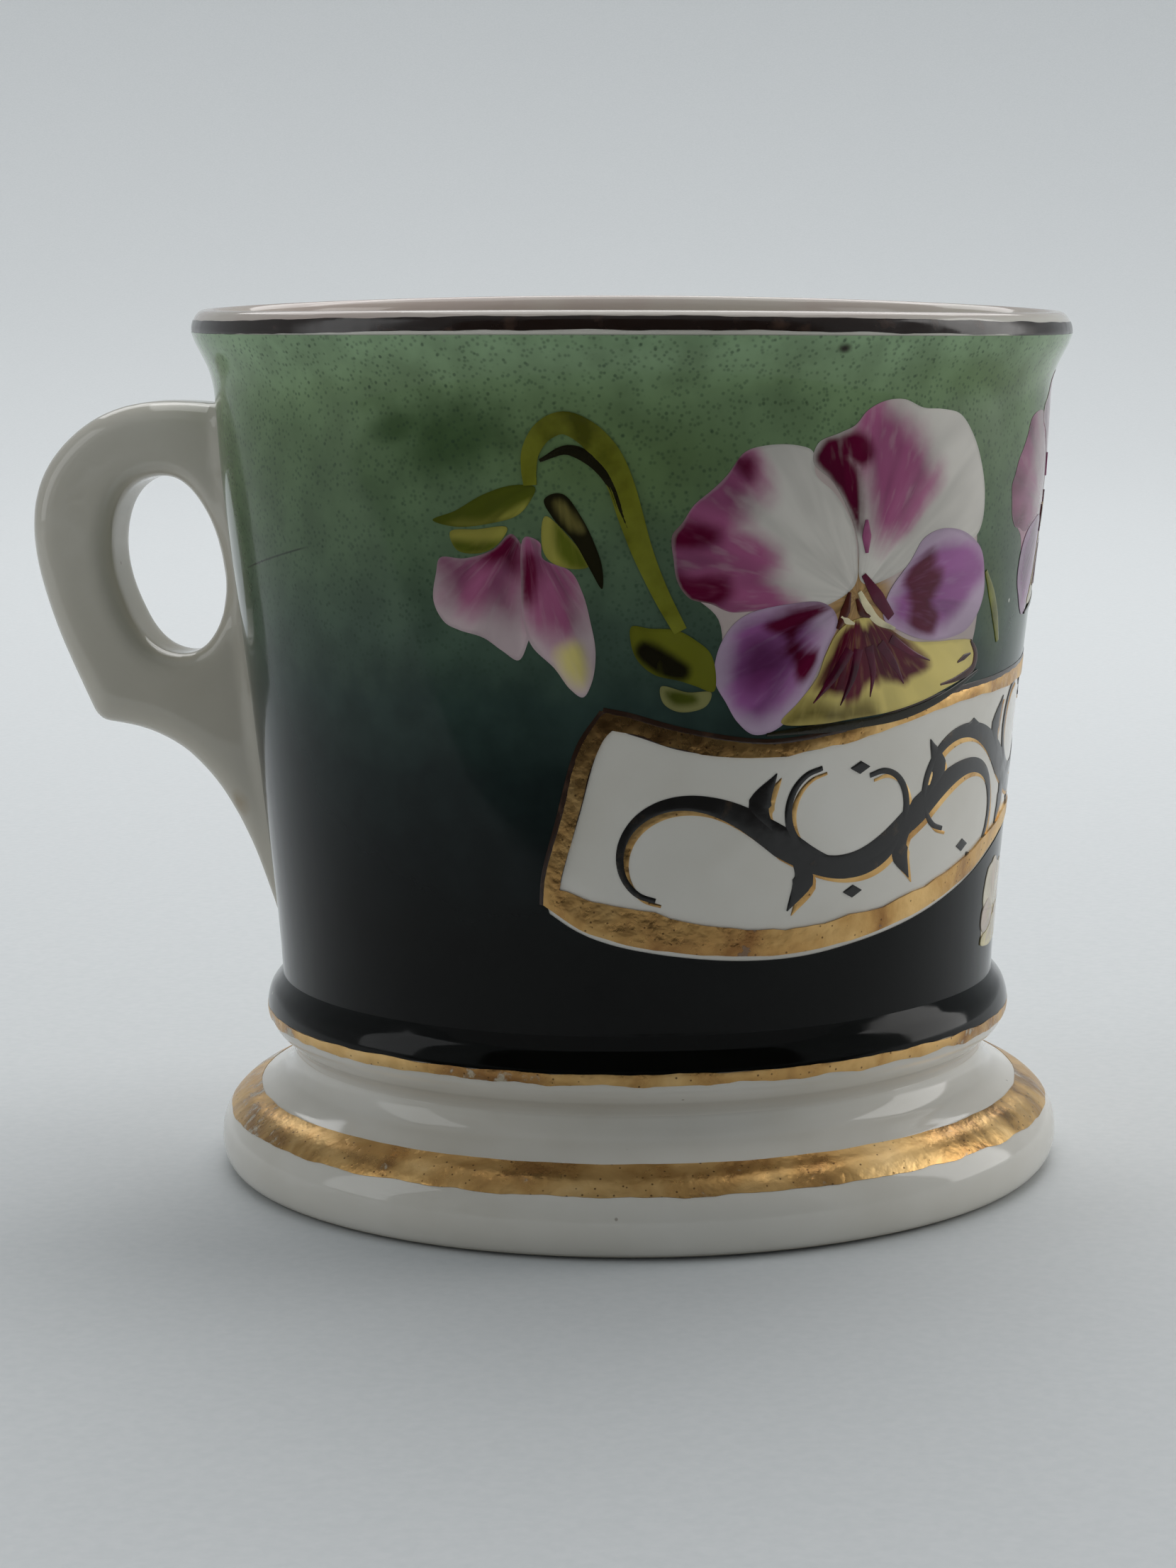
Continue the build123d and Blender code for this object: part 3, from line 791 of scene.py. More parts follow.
# ------------------------------------------------------------------ banner
BANNER_TURN_HEIGHT = 45.4      # the ribbon is unchanged by half a turn about this height at angle 0
OUTER_SIDE = [(-94.4, 33.7), (-93.9, 36.6), (-91.4, 42.4), (-88.4, 49.4), (-85.2, 52.8)]
OUTER_TOP = [
    (-85.2, 52.8), (-81.8, 52.3), (-74.0, 50.7), (-63.0, 49.4), (-55.0, 49.7), (-45.0, 50.8),
    (-32.0, 52.5), (-16.0, 53.2)]
OUTER_LOW = [
    (-94.4, 33.7), (-89.5, 31.5), (-85.0, 30.3), (-78.5, 29.3), (-67.0, 28.3), (-57.0, 28.2),
    (-48.0, 28.9), (-36.0, 30.4), (-23.0, 32.8), (-7.0, 36.2)]
INNER_SIDE = [(-91.9, 35.2), (-91.2, 37.2), (-88.8, 42.7), (-85.8, 49.4), (-84.0, 51.0)]
INNER_TOP = [
    (-84.0, 51.0), (-81.0, 50.5), (-74.0, 48.9), (-63.0, 48.0), (-55.0, 48.4), (-45.0, 49.6),
    (-32.0, 51.3), (-16.0, 51.8)]
INNER_LOW = [
    (-91.9, 35.2), (-88.5, 34.4), (-80.6, 33.2), (-69.0, 31.3), (-59.0, 30.7), (-51.0, 31.1),
    (-36.0, 32.7), (-23.0, 35.0), (-7.0, 38.0)]


def half_turn(spots):
    """The same points after half a turn about the banner's middle, in reverse order."""
    return [(-angle, 2 * BANNER_TURN_HEIGHT - height) for angle, height in spots][::-1]


def banner_outline(side, top, low, lower=0.0):
    """A closed outline of the ribbon as flat millimetres, from the left half of its edges."""
    low = [(angle, height - lower) for angle, height in low]
    half = [smooth(unroll(side), 4)[:-1], smooth(unroll(top + half_turn(low)), 5)[:-1]]
    line = np.vstack(half)
    return np.vstack([line, (0.0, 2 * BANNER_TURN_HEIGHT) - line])


def hand_drawn(line, amount, length):
    """Shifts the points of a closed line a little, as a brush does; length is in mm."""
    ahead = np.roll(line, -1, axis=0) - np.roll(line, 1, axis=0)
    ahead /= np.linalg.norm(ahead, axis=1)[:, None]
    side = np.column_stack([ahead[:, 1], -ahead[:, 0]])
    push = np.array([noise.noise(Vector((x / length, y / length, 3.7))) for x, y in line])
    return line + side * push[:, None] * amount


def gold(name, ring=False):
    """Thick fired gold: warm, rubbed thin at its edges, with pits and darker copper patches."""
    paint = Nodes(name)
    place = paint.position()
    rub = paint.noise(place, 150.0, 4.0, 0.5)
    fine = paint.noise(place, 900.0, 3.0)
    colour = paint.ramp(rub, [(0.30, (0.30, 0.15, 0.055)), (0.46, (0.56, 0.33, 0.12)),
                              (0.62, (0.76, 0.50, 0.21)), (0.78, (0.84, 0.60, 0.30))])
    pits = paint.rise(paint.cells(place, 1100.0), 0.16, 0.08, 0.0, 0.8)
    colour = paint.mix(pits, colour, (0.10, 0.05, 0.025))
    wear = paint.plus(paint.times(rub, 0.6), paint.times(fine, 0.4))
    if ring:
        angle, height = paint.wall_angle()
        handled = paint.rise(paint.math("ABSOLUTE", angle), 110.0, 165.0, 0.0, 0.07)
        edge = paint.rise(height, 6.6, 5.4, 0.0, 0.09)
        wear = paint.minus(wear, paint.plus(handled, edge))
    gone = paint.rise(wear, 0.385 if ring else 0.345, 0.315)
    colour = paint.mix(gone, colour, (0.46, 0.39, 0.28) if ring else (0.22, 0.13, 0.07))
    metal = paint.minus(1.0, paint.times(gone, 0.9))
    rough = paint.rise(paint.plus(rub, paint.times(fine, 0.5)), 0.45, 1.0, 0.20, 0.42)
    height = paint.plus(paint.noise(place, 420.0, 3.0), paint.times(fine, 0.5))
    return paint.finish(colour, rough, metal, bump=(height, 0.45, 0.0003))


def dark_enamel(name, light, dark):
    """Dark enamel that thins to brown where the brush lifted."""
    paint = Nodes(name)
    place = paint.position()
    thin = paint.noise(place, 380.0, 3.0)
    colour = paint.ramp(thin, [(0.35, dark), (0.60, dark), (0.80, light)])
    rough = paint.rise(thin, 0.3, 0.7, 0.10, 0.26)
    return paint.finish(colour, rough, bump=(thin, 0.12, 0.0002))


def banner_middle(angle):
    """Height of the ribbon's middle line at an angle."""
    angles = [-94.4, -85.0, -77.0, -62.0, -45.0, -22.0, 0.0, 22.0, 45.0, 62.0, 77.0, 85.0, 94.4]
    heights = [43.0, 41.6, 40.2, 39.3, 40.2, 42.9, 45.4, 47.9, 50.6, 51.5, 50.6, 49.2, 47.8]
    return float(np.interp(angle, angles, heights))


SCROLL_CURL = 3.9      # how far each end of a scroll curls round, in radians
SCROLL_ANGLES = [-60.0, -36.0, -12.0, 12.0, 36.0, 60.0]
SCROLL_SIZE = 11.5     # height of a scroll, mm
SCROLL_LEAN = -64.0


def scroll(angle, height):
    """An S-scroll as angles and heights: its bend grows evenly from the middle to each end."""
    share = np.linspace(-1.0, 1.0, 31)
    heading = SCROLL_CURL * share**2
    path = np.column_stack([np.cumsum(np.cos(heading)), np.cumsum(np.sin(heading))])
    path -= path[len(path) // 2]
    chord = path[-1] - path[0]
    turn = math.radians(90.0 + SCROLL_LEAN) - math.atan2(chord[1], chord[0])
    cosine, sine = math.cos(turn), math.sin(turn)
    path = path @ np.array([[cosine, sine], [-sine, cosine]])
    path *= SCROLL_SIZE / np.ptp(path[:, 1])
    return [(angle + x / DEGREE_WIDTH, height + y) for x, y in path]


def ornament_lines():
    """The banner's scrollwork: a running band of S-scrolls with leaves springing from them."""
    dark, bright = [], []
    for number, angle in enumerate(SCROLL_ANGLES):
        height = banner_middle(angle)
        flipped = number % 2 == 1
        curve = scroll(angle, height)
        if flipped:
            curve = [(a, 2 * height - z) for a, z in curve]
        dark.append((curve, (0.5, 0.9, 1.7, 3.0, 1.7, 0.9, 0.5)))
        bright.append(([(a + 0.8, z - 0.55) for a, z in curve], (0.3, 0.8, 1.5, 2.8, 1.5, 0.8, 0.3)))
        for side in (-1, 1):
            spring = [(angle - side * 1.5, height + side * 1.2), (angle - side * 3.6, height + side * 3.6),
                      (angle - side * 1.2, height + side * 6.9)]
            if flipped:
                spring = [(2 * angle - a, z) for a, z in spring]
            dark.append((spring, (0.4, 2.5, 0.1)))
            bright.append(([(a + 0.7, z - 0.5) for a, z in spring], (0.3, 2.2, 0.1)))
    for before, after in zip(SCROLL_ANGLES, SCROLL_ANGLES[1:]):
        angle = (before + after) / 2
        for rise in (-6.2, 6.2):
            spot = banner_middle(angle) + rise
            dark.append(([(angle - 1.6, spot), (angle, spot), (angle + 1.6, spot)], (0.1, 1.3, 0.1)))
    return dark, bright


BORDER_TOP = 0.16      # height of the gold border at its edge and the swell of its middle, mm
BORDER_SWELL = 0.07
BORDER_SHOULDER = 0.5  # the swell is full this far inside the edge, mm


def make_banner():
    """The gold border, its dark edging and the ornament; gives back the hole in the ground."""
    gold_border = gold("banner_gold")
    outer = hand_drawn(banner_outline(OUTER_SIDE, OUTER_TOP, OUTER_LOW), 0.16, 3.0)
    inner = hand_drawn(banner_outline(INNER_SIDE, INNER_TOP, INNER_LOW), 0.30, 2.2)
    window = banner_outline([(a + 0.6, z) for a, z in OUTER_SIDE], [(a, z - 0.4) for a, z in OUTER_TOP],
                            OUTER_LOW, 0.42)

    def rounded(depth):
        return BORDER_SWELL * np.clip(depth / BORDER_SHOULDER, 0.0, 1.0) ** 0.5

    border = sheet("banner_gilt_border", outer, 0.5, 0.0, BORDER_TOP, [inner], rounded)
    belong(border, "gilding", gold_border, "banner_gilt_border")

    ink = dark_enamel("dark_line", (0.10, 0.045, 0.02), (0.028, 0.012, 0.006))
    left = [(a - 0.15, z) for a, z in OUTER_SIDE]
    top = [(a, z + 0.12) for a, z in OUTER_TOP + half_turn(OUTER_LOW)]
    inner_line = [(a - 0.1, z) for a, z in INNER_SIDE[:-1]] + [(a, z + 0.1) for a, z in INNER_TOP[:5]]
    edging = [(left, (0.4, 0.6, 0.45)), (top, (0.6, 0.5, 0.7, 0.6, 0.45, 0.5, 0.6, 0.45, 0.4)),
              (inner_line, (0.15, 0.3, 0.25, 0.4, 0.2, 0.1))]
    line = strokes("banner_dark_edging", edging, 0.0, 0.17, 0.02)
    belong(line, "black_enamel", ink)

    dark, bright = ornament_lines()
    black = dark_enamel("black_enamel", (0.075, 0.045, 0.02), (0.012, 0.011, 0.010))
    belong(strokes("banner_ornament_gold", bright, -0.02, 0.04), "gilding", gold_border, "banner_ornament")
    belong(strokes("banner_ornament", dark, -0.02, 0.065), "black_enamel", black, "banner_ornament")
    return window


# ------------------------------------------------------------------ rings round the mug
def band(name, profile, low, high, thickness, around=540, steps=8, sway=None):
    """A thin closed ring painted round the mug along a profile.  low and high are how far
    along the profile, in mm, its two hand-painted edges lie, as (mean, wander); sway(turn)
    moves both at an angle."""
    profile = np.array(profile, float)
    gaps = np.linalg.norm(np.diff(profile, axis=0), axis=1)
    along = np.concatenate([[0.0], np.cumsum(gaps)])
    ahead = np.gradient(profile, axis=0)
    ahead /= np.linalg.norm(ahead, axis=1)[:, None]
    normal = np.column_stack([ahead[:, 1], -ahead[:, 0]])
    if normal[:, 0].mean() < 0:
        normal = -normal
    verts = []
    for layer in (thickness, -0.02):
        for turn in np.linspace(-180.0, 180.0, around, endpoint=False):
            spot = Vector((math.cos(math.radians(turn)), math.sin(math.radians(turn)), 0.0))
            start = low[0] + low[1] * noise.fractal(spot * 9.0, 1.0, 2.0, 3)
            end = high[0] + high[1] * noise.fractal(spot * 9.0 + Vector((0.0, 0.0, 7.0)), 1.0, 2.0, 3)
            if sway is not None:
                start, end = start + sway(turn), end + sway(turn)
            for share in np.linspace(0.0, 1.0, steps):
                place = start + share * (end - start)
                radius = np.interp(place, along, profile[:, 0] + layer * normal[:, 0])
                height = np.interp(place, along, profile[:, 1] + layer * normal[:, 1])
                radius += float(waviness(turn, height))
                height += float(rim_warp(turn, height))
                verts.append((radius * spot.x * MM, radius * spot.y * MM, height * MM))
    faces = []
    under = around * steps
    for i in range(around):
        for j in range(steps):
            here, there = i * steps + j, (i + 1) % around * steps + j
            if j < steps - 1:
                faces.append((here, there, there + 1, here + 1))
                faces.append((here + 1 + under, there + 1 + under, there + under, here + under))
            if j in (0, steps - 1):
                faces.append((here, there, there + under, here + under))
    return object_from(name, verts, faces)


def make_ground(window):
    """The coat on the wall, with the banner's window left open, and the coat on the bead."""
    turn = 180.0 * DEGREE_WIDTH
    field = np.array([(-turn, GROUND_LOW), (turn, GROUND_LOW), (turn, GROUND_HIGH), (-turn, GROUND_HIGH)])
    ground = ground_material()
    coat = sheet("ground_colour_coat", field, 0.9, -0.02, COAT, [window], wrap=True)
    belong(coat, "ground_enamel", ground, "ground_colour_coat")
    upper_bead = np.vstack([BEAD[:-1], wall_line(20.6, 22.0, 0.4)])
    coat = band("bead_colour_coat", upper_bead, (BEAD_LENGTH - 3.9, 0.05), (BEAD_LENGTH + 0.3, 0.0), COAT,
                steps=14)
    belong(coat, "ground_enamel", ground, "ground_colour_coat")


def make_gilding():
    """The gold lines on the bead and foot, and the dark line round the rim."""
    worn = gold("worn_gold", ring=True)
    bead = band("bead_gilt_line", BEAD, (BEAD_LENGTH - 5.0, 0.35), (BEAD_LENGTH - 3.9, 0.16), 0.14)
    belong(bead, "gilding", worn, "bead_gilt_line")
    foot = band("foot_gilt_band", FOOT, (5.6, 0.10), (9.7, 0.25), 0.06)
    belong(foot, "gilding", worn, "foot_gilt_band")
    ink = dark_enamel("rim_line", (0.075, 0.040, 0.026), (0.020, 0.011, 0.008))
    edge = np.vstack([wall_line(86.0, 88.3, 0.3), lip_arc(0.0, 90.0, 16)])

    def towards_crest(turn):
        """The rim line lies higher on the side that faces the camera."""
        return 0.2 + 0.65 * max(0.0, math.cos(math.radians(turn + 81.0))) ** 2

    line = band("rim_line", edge, (2.1, 0.14), (3.45, 0.12), 0.05, sway=towards_crest)
    belong(line, "rim_enamel", ink, "rim_line")


# ------------------------------------------------------------------ flowers
WHITE = (0.67, 0.63, 0.57)
CREAM = (0.70, 0.62, 0.40)
MAUVE = (0.32, 0.085, 0.185)
CRIMSON = (0.090, 0.002, 0.022)
LILAC = (0.50, 0.37, 0.49)
WINE = (0.170, 0.025, 0.080)
BUD_PALE = (0.56, 0.44, 0.45)
BUD_MAUVE = (0.30, 0.085, 0.170)
VIOLET = (0.280, 0.090, 0.260)
DEEP_VIOLET = (0.150, 0.030, 0.120)
YELLOW = (0.74, 0.60, 0.19)
HEART = (0.085, 0.002, 0.014)
OLIVE_SHADE = (0.17, 0.13, 0.03)
THROAT_BROWN = (0.075, 0.015, 0.010)
LEAF = (0.150, 0.155, 0.012)
LEAF_DARK = (0.014, 0.012, 0.004)
LEAF_OLIVE = (0.085, 0.100, 0.008)

# Later petals lie a little over earlier ones, and strokes over all of them, in mm.
PETAL_STEP = 0.018
SMALL_PETAL_STEP = 0.014
GREEN_STEP = 0.008
LEAF_STEP = 0.006
SHADE_STEP = 0.004
STROKE_LEVEL = 0.125
SHORTEST_RAY = 0.3     # so that streaks don't bunch up in the throat, mm
RAY_SCALE = 0.02

# Each petal: its outline, its own colour, and areas painted over it as outline, colour,
# softness of the edge in mm and how far the brush streaks run.
THROAT = (-50.5, 63.0)
UPPER_LEFT = (
    [(-51, 64.3), (-50.9, 67), (-52, 70.2), (-54.8, 73.2), (-57.5, 75), (-58, 77.2), (-60, 77.8),
     (-64, 77.9), (-67, 77.3), (-69.2, 75.2), (-71, 73.9), (-73.4, 72.4), (-74.8, 70.8), (-76.1, 69.6),
     (-75.9, 67.3), (-75.4, 65.2), (-73.8, 63.6), (-71, 63), (-68.5, 62.2), (-65, 62.2), (-60, 61.9),
     (-55, 62.5)], WHITE,
    [([(-66, 78.5), (-64.5, 74.5), (-66.5, 71), (-68, 70), (-63.5, 68.2), (-63, 65), (-60, 62.5),
       (-60, 61), (-78, 60), (-79, 72), (-70, 80)], MAUVE, 1.5, 2.2),
     ([(-77, 70.9), (-70.5, 69.8), (-71, 68.6), (-77, 68.6)], CRIMSON, 0.7, 1.4),
     ([(-77, 68), (-74, 65.5), (-69, 65.4), (-69.5, 63.2), (-74, 62.5), (-77, 65)], CRIMSON, 0.8, 1.6),
     ([(-68.6, 76.6), (-66.2, 76.6), (-66.3, 74.7)], CRIMSON, 0.7, 1.0)])
UPPER_RIGHT = (
    [(-50.3, 64.8), (-50.8, 68), (-52.3, 71), (-55, 74.2), (-57.9, 76.2), (-57.2, 78), (-54.2, 78.9),
     (-52, 79.6), (-50.2, 81), (-47.5, 81.9), (-44.5, 82), (-41.2, 81.1), (-37.8, 80.9), (-34.2, 80.3),
     (-31.2, 78.1), (-29, 75.3), (-27.6, 72.2), (-27.6, 69.4), (-29, 68), (-38, 67.5), (-44, 65.2),
     (-49, 64.2)], WHITE,
    [([(-51.5, 80.5), (-48, 81.2), (-44.5, 80), (-41.5, 78.2), (-39.2, 75.8), (-38.9, 73.5),
       (-41, 71), (-43.5, 69), (-48, 69.5), (-49.5, 72)], MAUVE, 1.6, 2.2),
     ([(-58, 76.4), (-56.5, 78.2), (-53, 78.8), (-50, 77.9), (-49.2, 76.5), (-50.8, 75.8),
       (-53, 76.6), (-51.5, 75), (-50.6, 72.8), (-50.2, 70.3), (-50, 69), (-51.8, 69.8),
       (-53.3, 72.3), (-55.5, 74.4)], CRIMSON, 0.5, 1.0)])
LEFT = (
    [(-54, 61.9), (-56, 62.8), (-60, 62.8), (-66, 62), (-68.5, 60.6), (-70.2, 58), (-70.3, 55.5),
     (-68.8, 53.5), (-67.2, 51.6), (-65, 50.3), (-62.5, 50.4), (-60, 51.5), (-58, 53.2), (-56.5, 55.4),
     (-55.2, 57.4), (-54.2, 59), (-53.3, 60.5)], LILAC,
    [([(-66.5, 61), (-69, 57), (-67.5, 53.5), (-64.5, 51.7), (-61.5, 53), (-59, 55.2), (-57.5, 58),
       (-57, 61)], VIOLET, 0.9, 1.2),
     ([(-65, 59.5), (-67, 57), (-65.5, 54.6), (-62.5, 55), (-60, 58)], DEEP_VIOLET, 0.9, 1.2),
     ([(-63.5, 60.8), (-60, 62.2), (-54.8, 62.3), (-57.2, 61), (-58.4, 59.8), (-57.8, 58.5),
       (-56.5, 57.2), (-58, 55.5), (-60.5, 57.2), (-63, 57.8), (-61.5, 59.2)], CRIMSON, 0.55, 1.6)])
RIGHT = (
    [(-45.5, 63.2), (-42, 66.3), (-40, 68.3), (-37, 69.1), (-33, 68.9), (-29.5, 67.9), (-27, 66.5),
     (-25.8, 64.5), (-25.3, 62.2), (-26.5, 60.2), (-29, 58.8), (-33, 58.2), (-38, 58.3), (-42.5, 59.3),
     (-46, 60.8)], LILAC,
    [([(-43, 63.5), (-41, 66.2), (-37, 67.2), (-32, 67.2), (-28.5, 66.2), (-26.3, 64.5), (-29, 63),
       (-31, 61), (-35, 59.6), (-40, 59.8), (-44, 61.2)], VIOLET, 0.9, 1.3),
     ([(-42.5, 64.8), (-38, 67.3), (-38, 65.2), (-36.2, 64.2), (-37.5, 62), (-36, 60.6), (-37, 59.2),
       (-41, 59.8), (-41.2, 62.2)], CRIMSON, 0.6, 1.6)])
LIP = (
    [(-53, 60), (-54.8, 57.8), (-56, 55.5), (-58.6, 53.2), (-61, 51.3), (-56, 50.9), (-50, 51.2),
     (-44, 51.5), (-38, 52.2), (-33, 53.1), (-28, 54.1), (-25.4, 55.2), (-26, 56.8), (-27.5, 57.6),
     (-31, 57.9), (-36, 58), (-41, 58.4), (-44.5, 59.6), (-47, 60.8), (-50, 61)], YELLOW,
    [([(-62, 50.6), (-57, 53.6), (-52, 52.6), (-47, 52.4), (-46, 51.0), (-54, 50.6)], OLIVE_SHADE, 1.0,
      1.8),
     ([(-52.6, 60.0), (-49, 60.3), (-46, 60.1), (-43.2, 59.2), (-40.4, 57.4), (-37.4, 55.6),
       (-41, 54.6), (-44.6, 54.2), (-47.6, 55.2), (-50.6, 53.6), (-54.2, 53.4), (-56.4, 54.4),
       (-55, 57.4)], HEART, 0.5, 1.9)])
PANSY_BASE = (
    [(-57.5, 76.2), (-60, 77), (-66, 76.5), (-70, 73.5), (-75, 69), (-74, 64.5), (-70, 61.5), (-69, 56),
     (-66.5, 52), (-62, 51.2), (-56, 51.5), (-44, 52), (-30, 54.8), (-27, 57.5), (-26.5, 62),
     (-28.5, 68), (-29, 73), (-33, 79), (-41, 80), (-46, 81), (-51, 79)], (0.55, 0.45, 0.42),
    [([(-56, 60), (-52, 66), (-48, 66), (-44, 60), (-48, 57), (-54, 57)], (0.42, 0.25, 0.1), 0.8, 0.8)])
PANSY_STROKES = [
    ("crimson", [(-49.8, 65.2), (-47.2, 62.9), (-44.8, 60.9)], (0.5, 1.3, 0.9)),
    ("crimson", [(-51.2, 58.0), (-53.6, 55.4), (-56.4, 53.0)], (1.1, 0.9, 0.1)),
    ("crimson", [(-49.8, 58.0), (-50.6, 55.2), (-52.2, 52.6)], (1.0, 0.8, 0.1)),
    ("crimson", [(-48.2, 58.2), (-47.2, 55.6), (-47.4, 53.2)], (1.0, 0.7, 0.1)),
    ("crimson", [(-46.4, 58.4), (-43.6, 56.2), (-41.6, 54.2)], (1.0, 0.8, 0.1)),
    ("crimson", [(-44.6, 58.8), (-40.6, 57.2), (-36.8, 56.2)], (0.9, 0.6, 0.1)),
    ("mauve", [(-49.8, 70.5), (-49.7, 69), (-49.5, 67.3)], (0.3, 1.0, 0.3)),
    ("brown", [(-51.8, 63.6), (-52.3, 61.8), (-53.3, 60.1)], (0.3, 1.0, 0.4)),
    ("brown", [(-50.6, 62.9), (-49.5, 61.5), (-47.8, 61.1)], (0.3, 0.8, 0.3)),
    ("brown",
     [(-27.6, 57.6), (-26.0, 56.2), (-26.3, 54.9), (-30, 54), (-34, 53.6)], (0.3, 0.8, 0.8, 0.5, 0.2)),
    ("brown", [(-30.5, 55.6), (-29, 56.0), (-27.4, 56.3)], (0.2, 0.6, 0.2)),
    ("cream", [(-50.3, 63.6), (-48.8, 61.9), (-47, 60.6), (-44, 59.7)], (0.4, 0.9, 0.7, 0.3)),
    ("cream", [(-52.9, 61.3), (-51.9, 60.8), (-50.8, 60.5)], (0.3, 0.6, 0.2)),
    ("dark",
     [(-63, 50.2), (-58, 50.4), (-50, 50.6), (-42, 51.0), (-34, 52.2), (-25, 54.4)],
     (0.3, 0.9, 0.8, 0.9, 0.7, 0.3))]

BUD_LEFT = (
    [(-96.5, 69.8), (-99, 68.3), (-103, 67.4), (-106.5, 67.4), (-107.2, 66), (-107.9, 63.2),
     (-106.5, 61.2), (-104.5, 60.5), (-101, 59.8), (-98.5, 58.6), (-96.3, 57.7), (-95, 59.3),
     (-94.2, 61.5), (-94.5, 65), (-94.8, 68)], BUD_PALE,
    [([(-94, 70.5), (-99, 69), (-108.5, 68.2), (-106, 63.5), (-102.5, 62.6), (-99.5, 62), (-97, 61.5),
       (-95.3, 63.5)], BUD_MAUVE, 1.7, 2.4),
     ([(-95.5, 70.5), (-99, 68.6), (-101, 67.4), (-98.5, 67.2), (-96.2, 66.0)], CRIMSON, 1.0, 1.6)])
BUD_RIGHT = (
    [(-94.8, 69.5), (-92.8, 69), (-92.5, 67.5), (-89, 66.3), (-87.5, 64.2), (-86.6, 61.5), (-86, 58.5),
     (-86.6, 55.6), (-87.8, 54.2), (-89.5, 55), (-91.5, 57), (-94.3, 59), (-95.3, 61), (-95.5, 65)],
    BUD_PALE,
    [([(-96, 70), (-92, 70), (-88, 66.5), (-87.2, 62), (-89.5, 59.8), (-92.5, 61), (-94.6, 63.8)],
      BUD_MAUVE, 1.6, 2.4),
     ([(-94.6, 67.6), (-93.4, 67.6), (-93.8, 65.5), (-95, 63.8), (-95.4, 65.5)], CRIMSON, 0.8, 1.4),
     ([(-90.5, 58.6), (-88, 59.4), (-86.9, 57), (-88, 55.4), (-90, 56.6)], (0.64, 0.54, 0.19), 0.7, 0.8)])
BUD_GREENS = [
    ([(-93.2, 74.2), (-96, 74.4), (-100, 73.5), (-104, 71.9), (-107.2, 71), (-104, 70.4), (-99, 70.8),
      (-95.5, 71.6), (-93.8, 73)], LEAF_OLIVE,
     [([(-92, 72.4), (-99, 71.4), (-106, 70.6), (-99, 69.8), (-93, 70.5)], (0.3, 0.28, 0.05), 0.6, 0.8)]),
    ([(-104.8, 69.9), (-101, 70.2), (-97, 70.4), (-98.5, 68.7), (-101, 67.9), (-104, 68.2)],
     (0.32, 0.29, 0.055),
     [([(-106, 68.9), (-101, 69.1), (-98, 68.8), (-100, 67), (-105, 67)], LEAF_OLIVE, 0.5, 0.7)]),
    ([(-92, 71.5), (-92.5, 68.5), (-91.5, 67.2), (-88.5, 66.5), (-86.6, 66.8), (-89, 69.5)],
     (0.34, 0.31, 0.06),
     [([(-90.5, 71), (-88, 68.8), (-86.2, 66), (-90, 67.6)], LEAF_OLIVE, 0.5, 0.6)]),
    ([(-92.1, 73), (-91, 73.6), (-89.5, 73.5), (-87.5, 71.5), (-85.9, 69), (-84.9, 66.5), (-85, 64.6),
      (-86.5, 66.5), (-88.5, 69.2), (-91, 71.3)], LEAF_DARK,
     [([(-90.6, 72.8), (-89.2, 72.4), (-87.4, 70.2), (-88.6, 70.4)], (0.13, 0.11, 0.03), 0.4, 0.4)]),
    ([(-81.3, 61), (-79, 60.8), (-75.5, 60.6), (-73, 59.6), (-71, 58.3), (-70.2, 56), (-70.5, 54.6),
      (-73, 55.2), (-75, 55.7), (-78.5, 56.4), (-80.6, 57.8), (-81.4, 59.4)], LEAF,
     [([(-81, 58.8), (-79.8, 59.8), (-76, 58.4), (-73.6, 57), (-73.8, 56), (-75.5, 55.5),
        (-78.5, 56.4), (-80.6, 57.8)], LEAF_DARK, 0.35, 0.4)]),
    ([(-77.5, 55.2), (-77.2, 53.6), (-75, 52.7), (-71.5, 53.2), (-70.8, 54.5), (-74, 54.6)],
     (0.26, 0.25, 0.09),
     [([(-76.9, 54.7), (-75.8, 53.4), (-72.6, 53.6), (-73, 54.4)], LEAF_OLIVE, 0.35, 0.4)])]
BUD_STROKES = [
    ("green",
     [(-93.8, 74.4), (-93.9, 76.0), (-93.6, 77.6), (-92, 79.4), (-89.5, 80.2), (-86.5, 79.2),
      (-84, 77), (-82.5, 74.5), (-81.3, 71.5), (-79.8, 68), (-77.5, 64), (-75, 60.5)],
     (1.2, 2.0, 2.5, 2.3, 1.7, 1.3)),
    ("dark",
     [(-92.5, 76.7), (-89, 77.7), (-86, 76.7), (-83.5, 74.6), (-82.2, 72), (-80.6, 69.0),
      (-78.6, 65.6), (-76.4, 62.2)],
     (0.3, 1.1, 1.1, 1.2, 1.1, 0.9, 0.3)),
    ("cream", [(-86, 79.2), (-83, 76.8), (-81.6, 74.5)], (0.2, 0.7, 0.2))]


def moved(spots, anchor, place, scale, mirror=1.0, turn=0.0):
    """The same drawing somewhere else on the wall: scaled, mirrored and turned about anchor."""
    cosine, sine = math.cos(math.radians(turn)), math.sin(math.radians(turn))
    found = []
    for angle, height in spots:
        x, y = (angle - anchor[0]) * DEGREE_WIDTH * scale * mirror, (height - anchor[1]) * scale
        found.append((place[0] + (x * cosine - y * sine) / DEGREE_WIDTH, place[1] + x * sine + y * cosine))
    return found


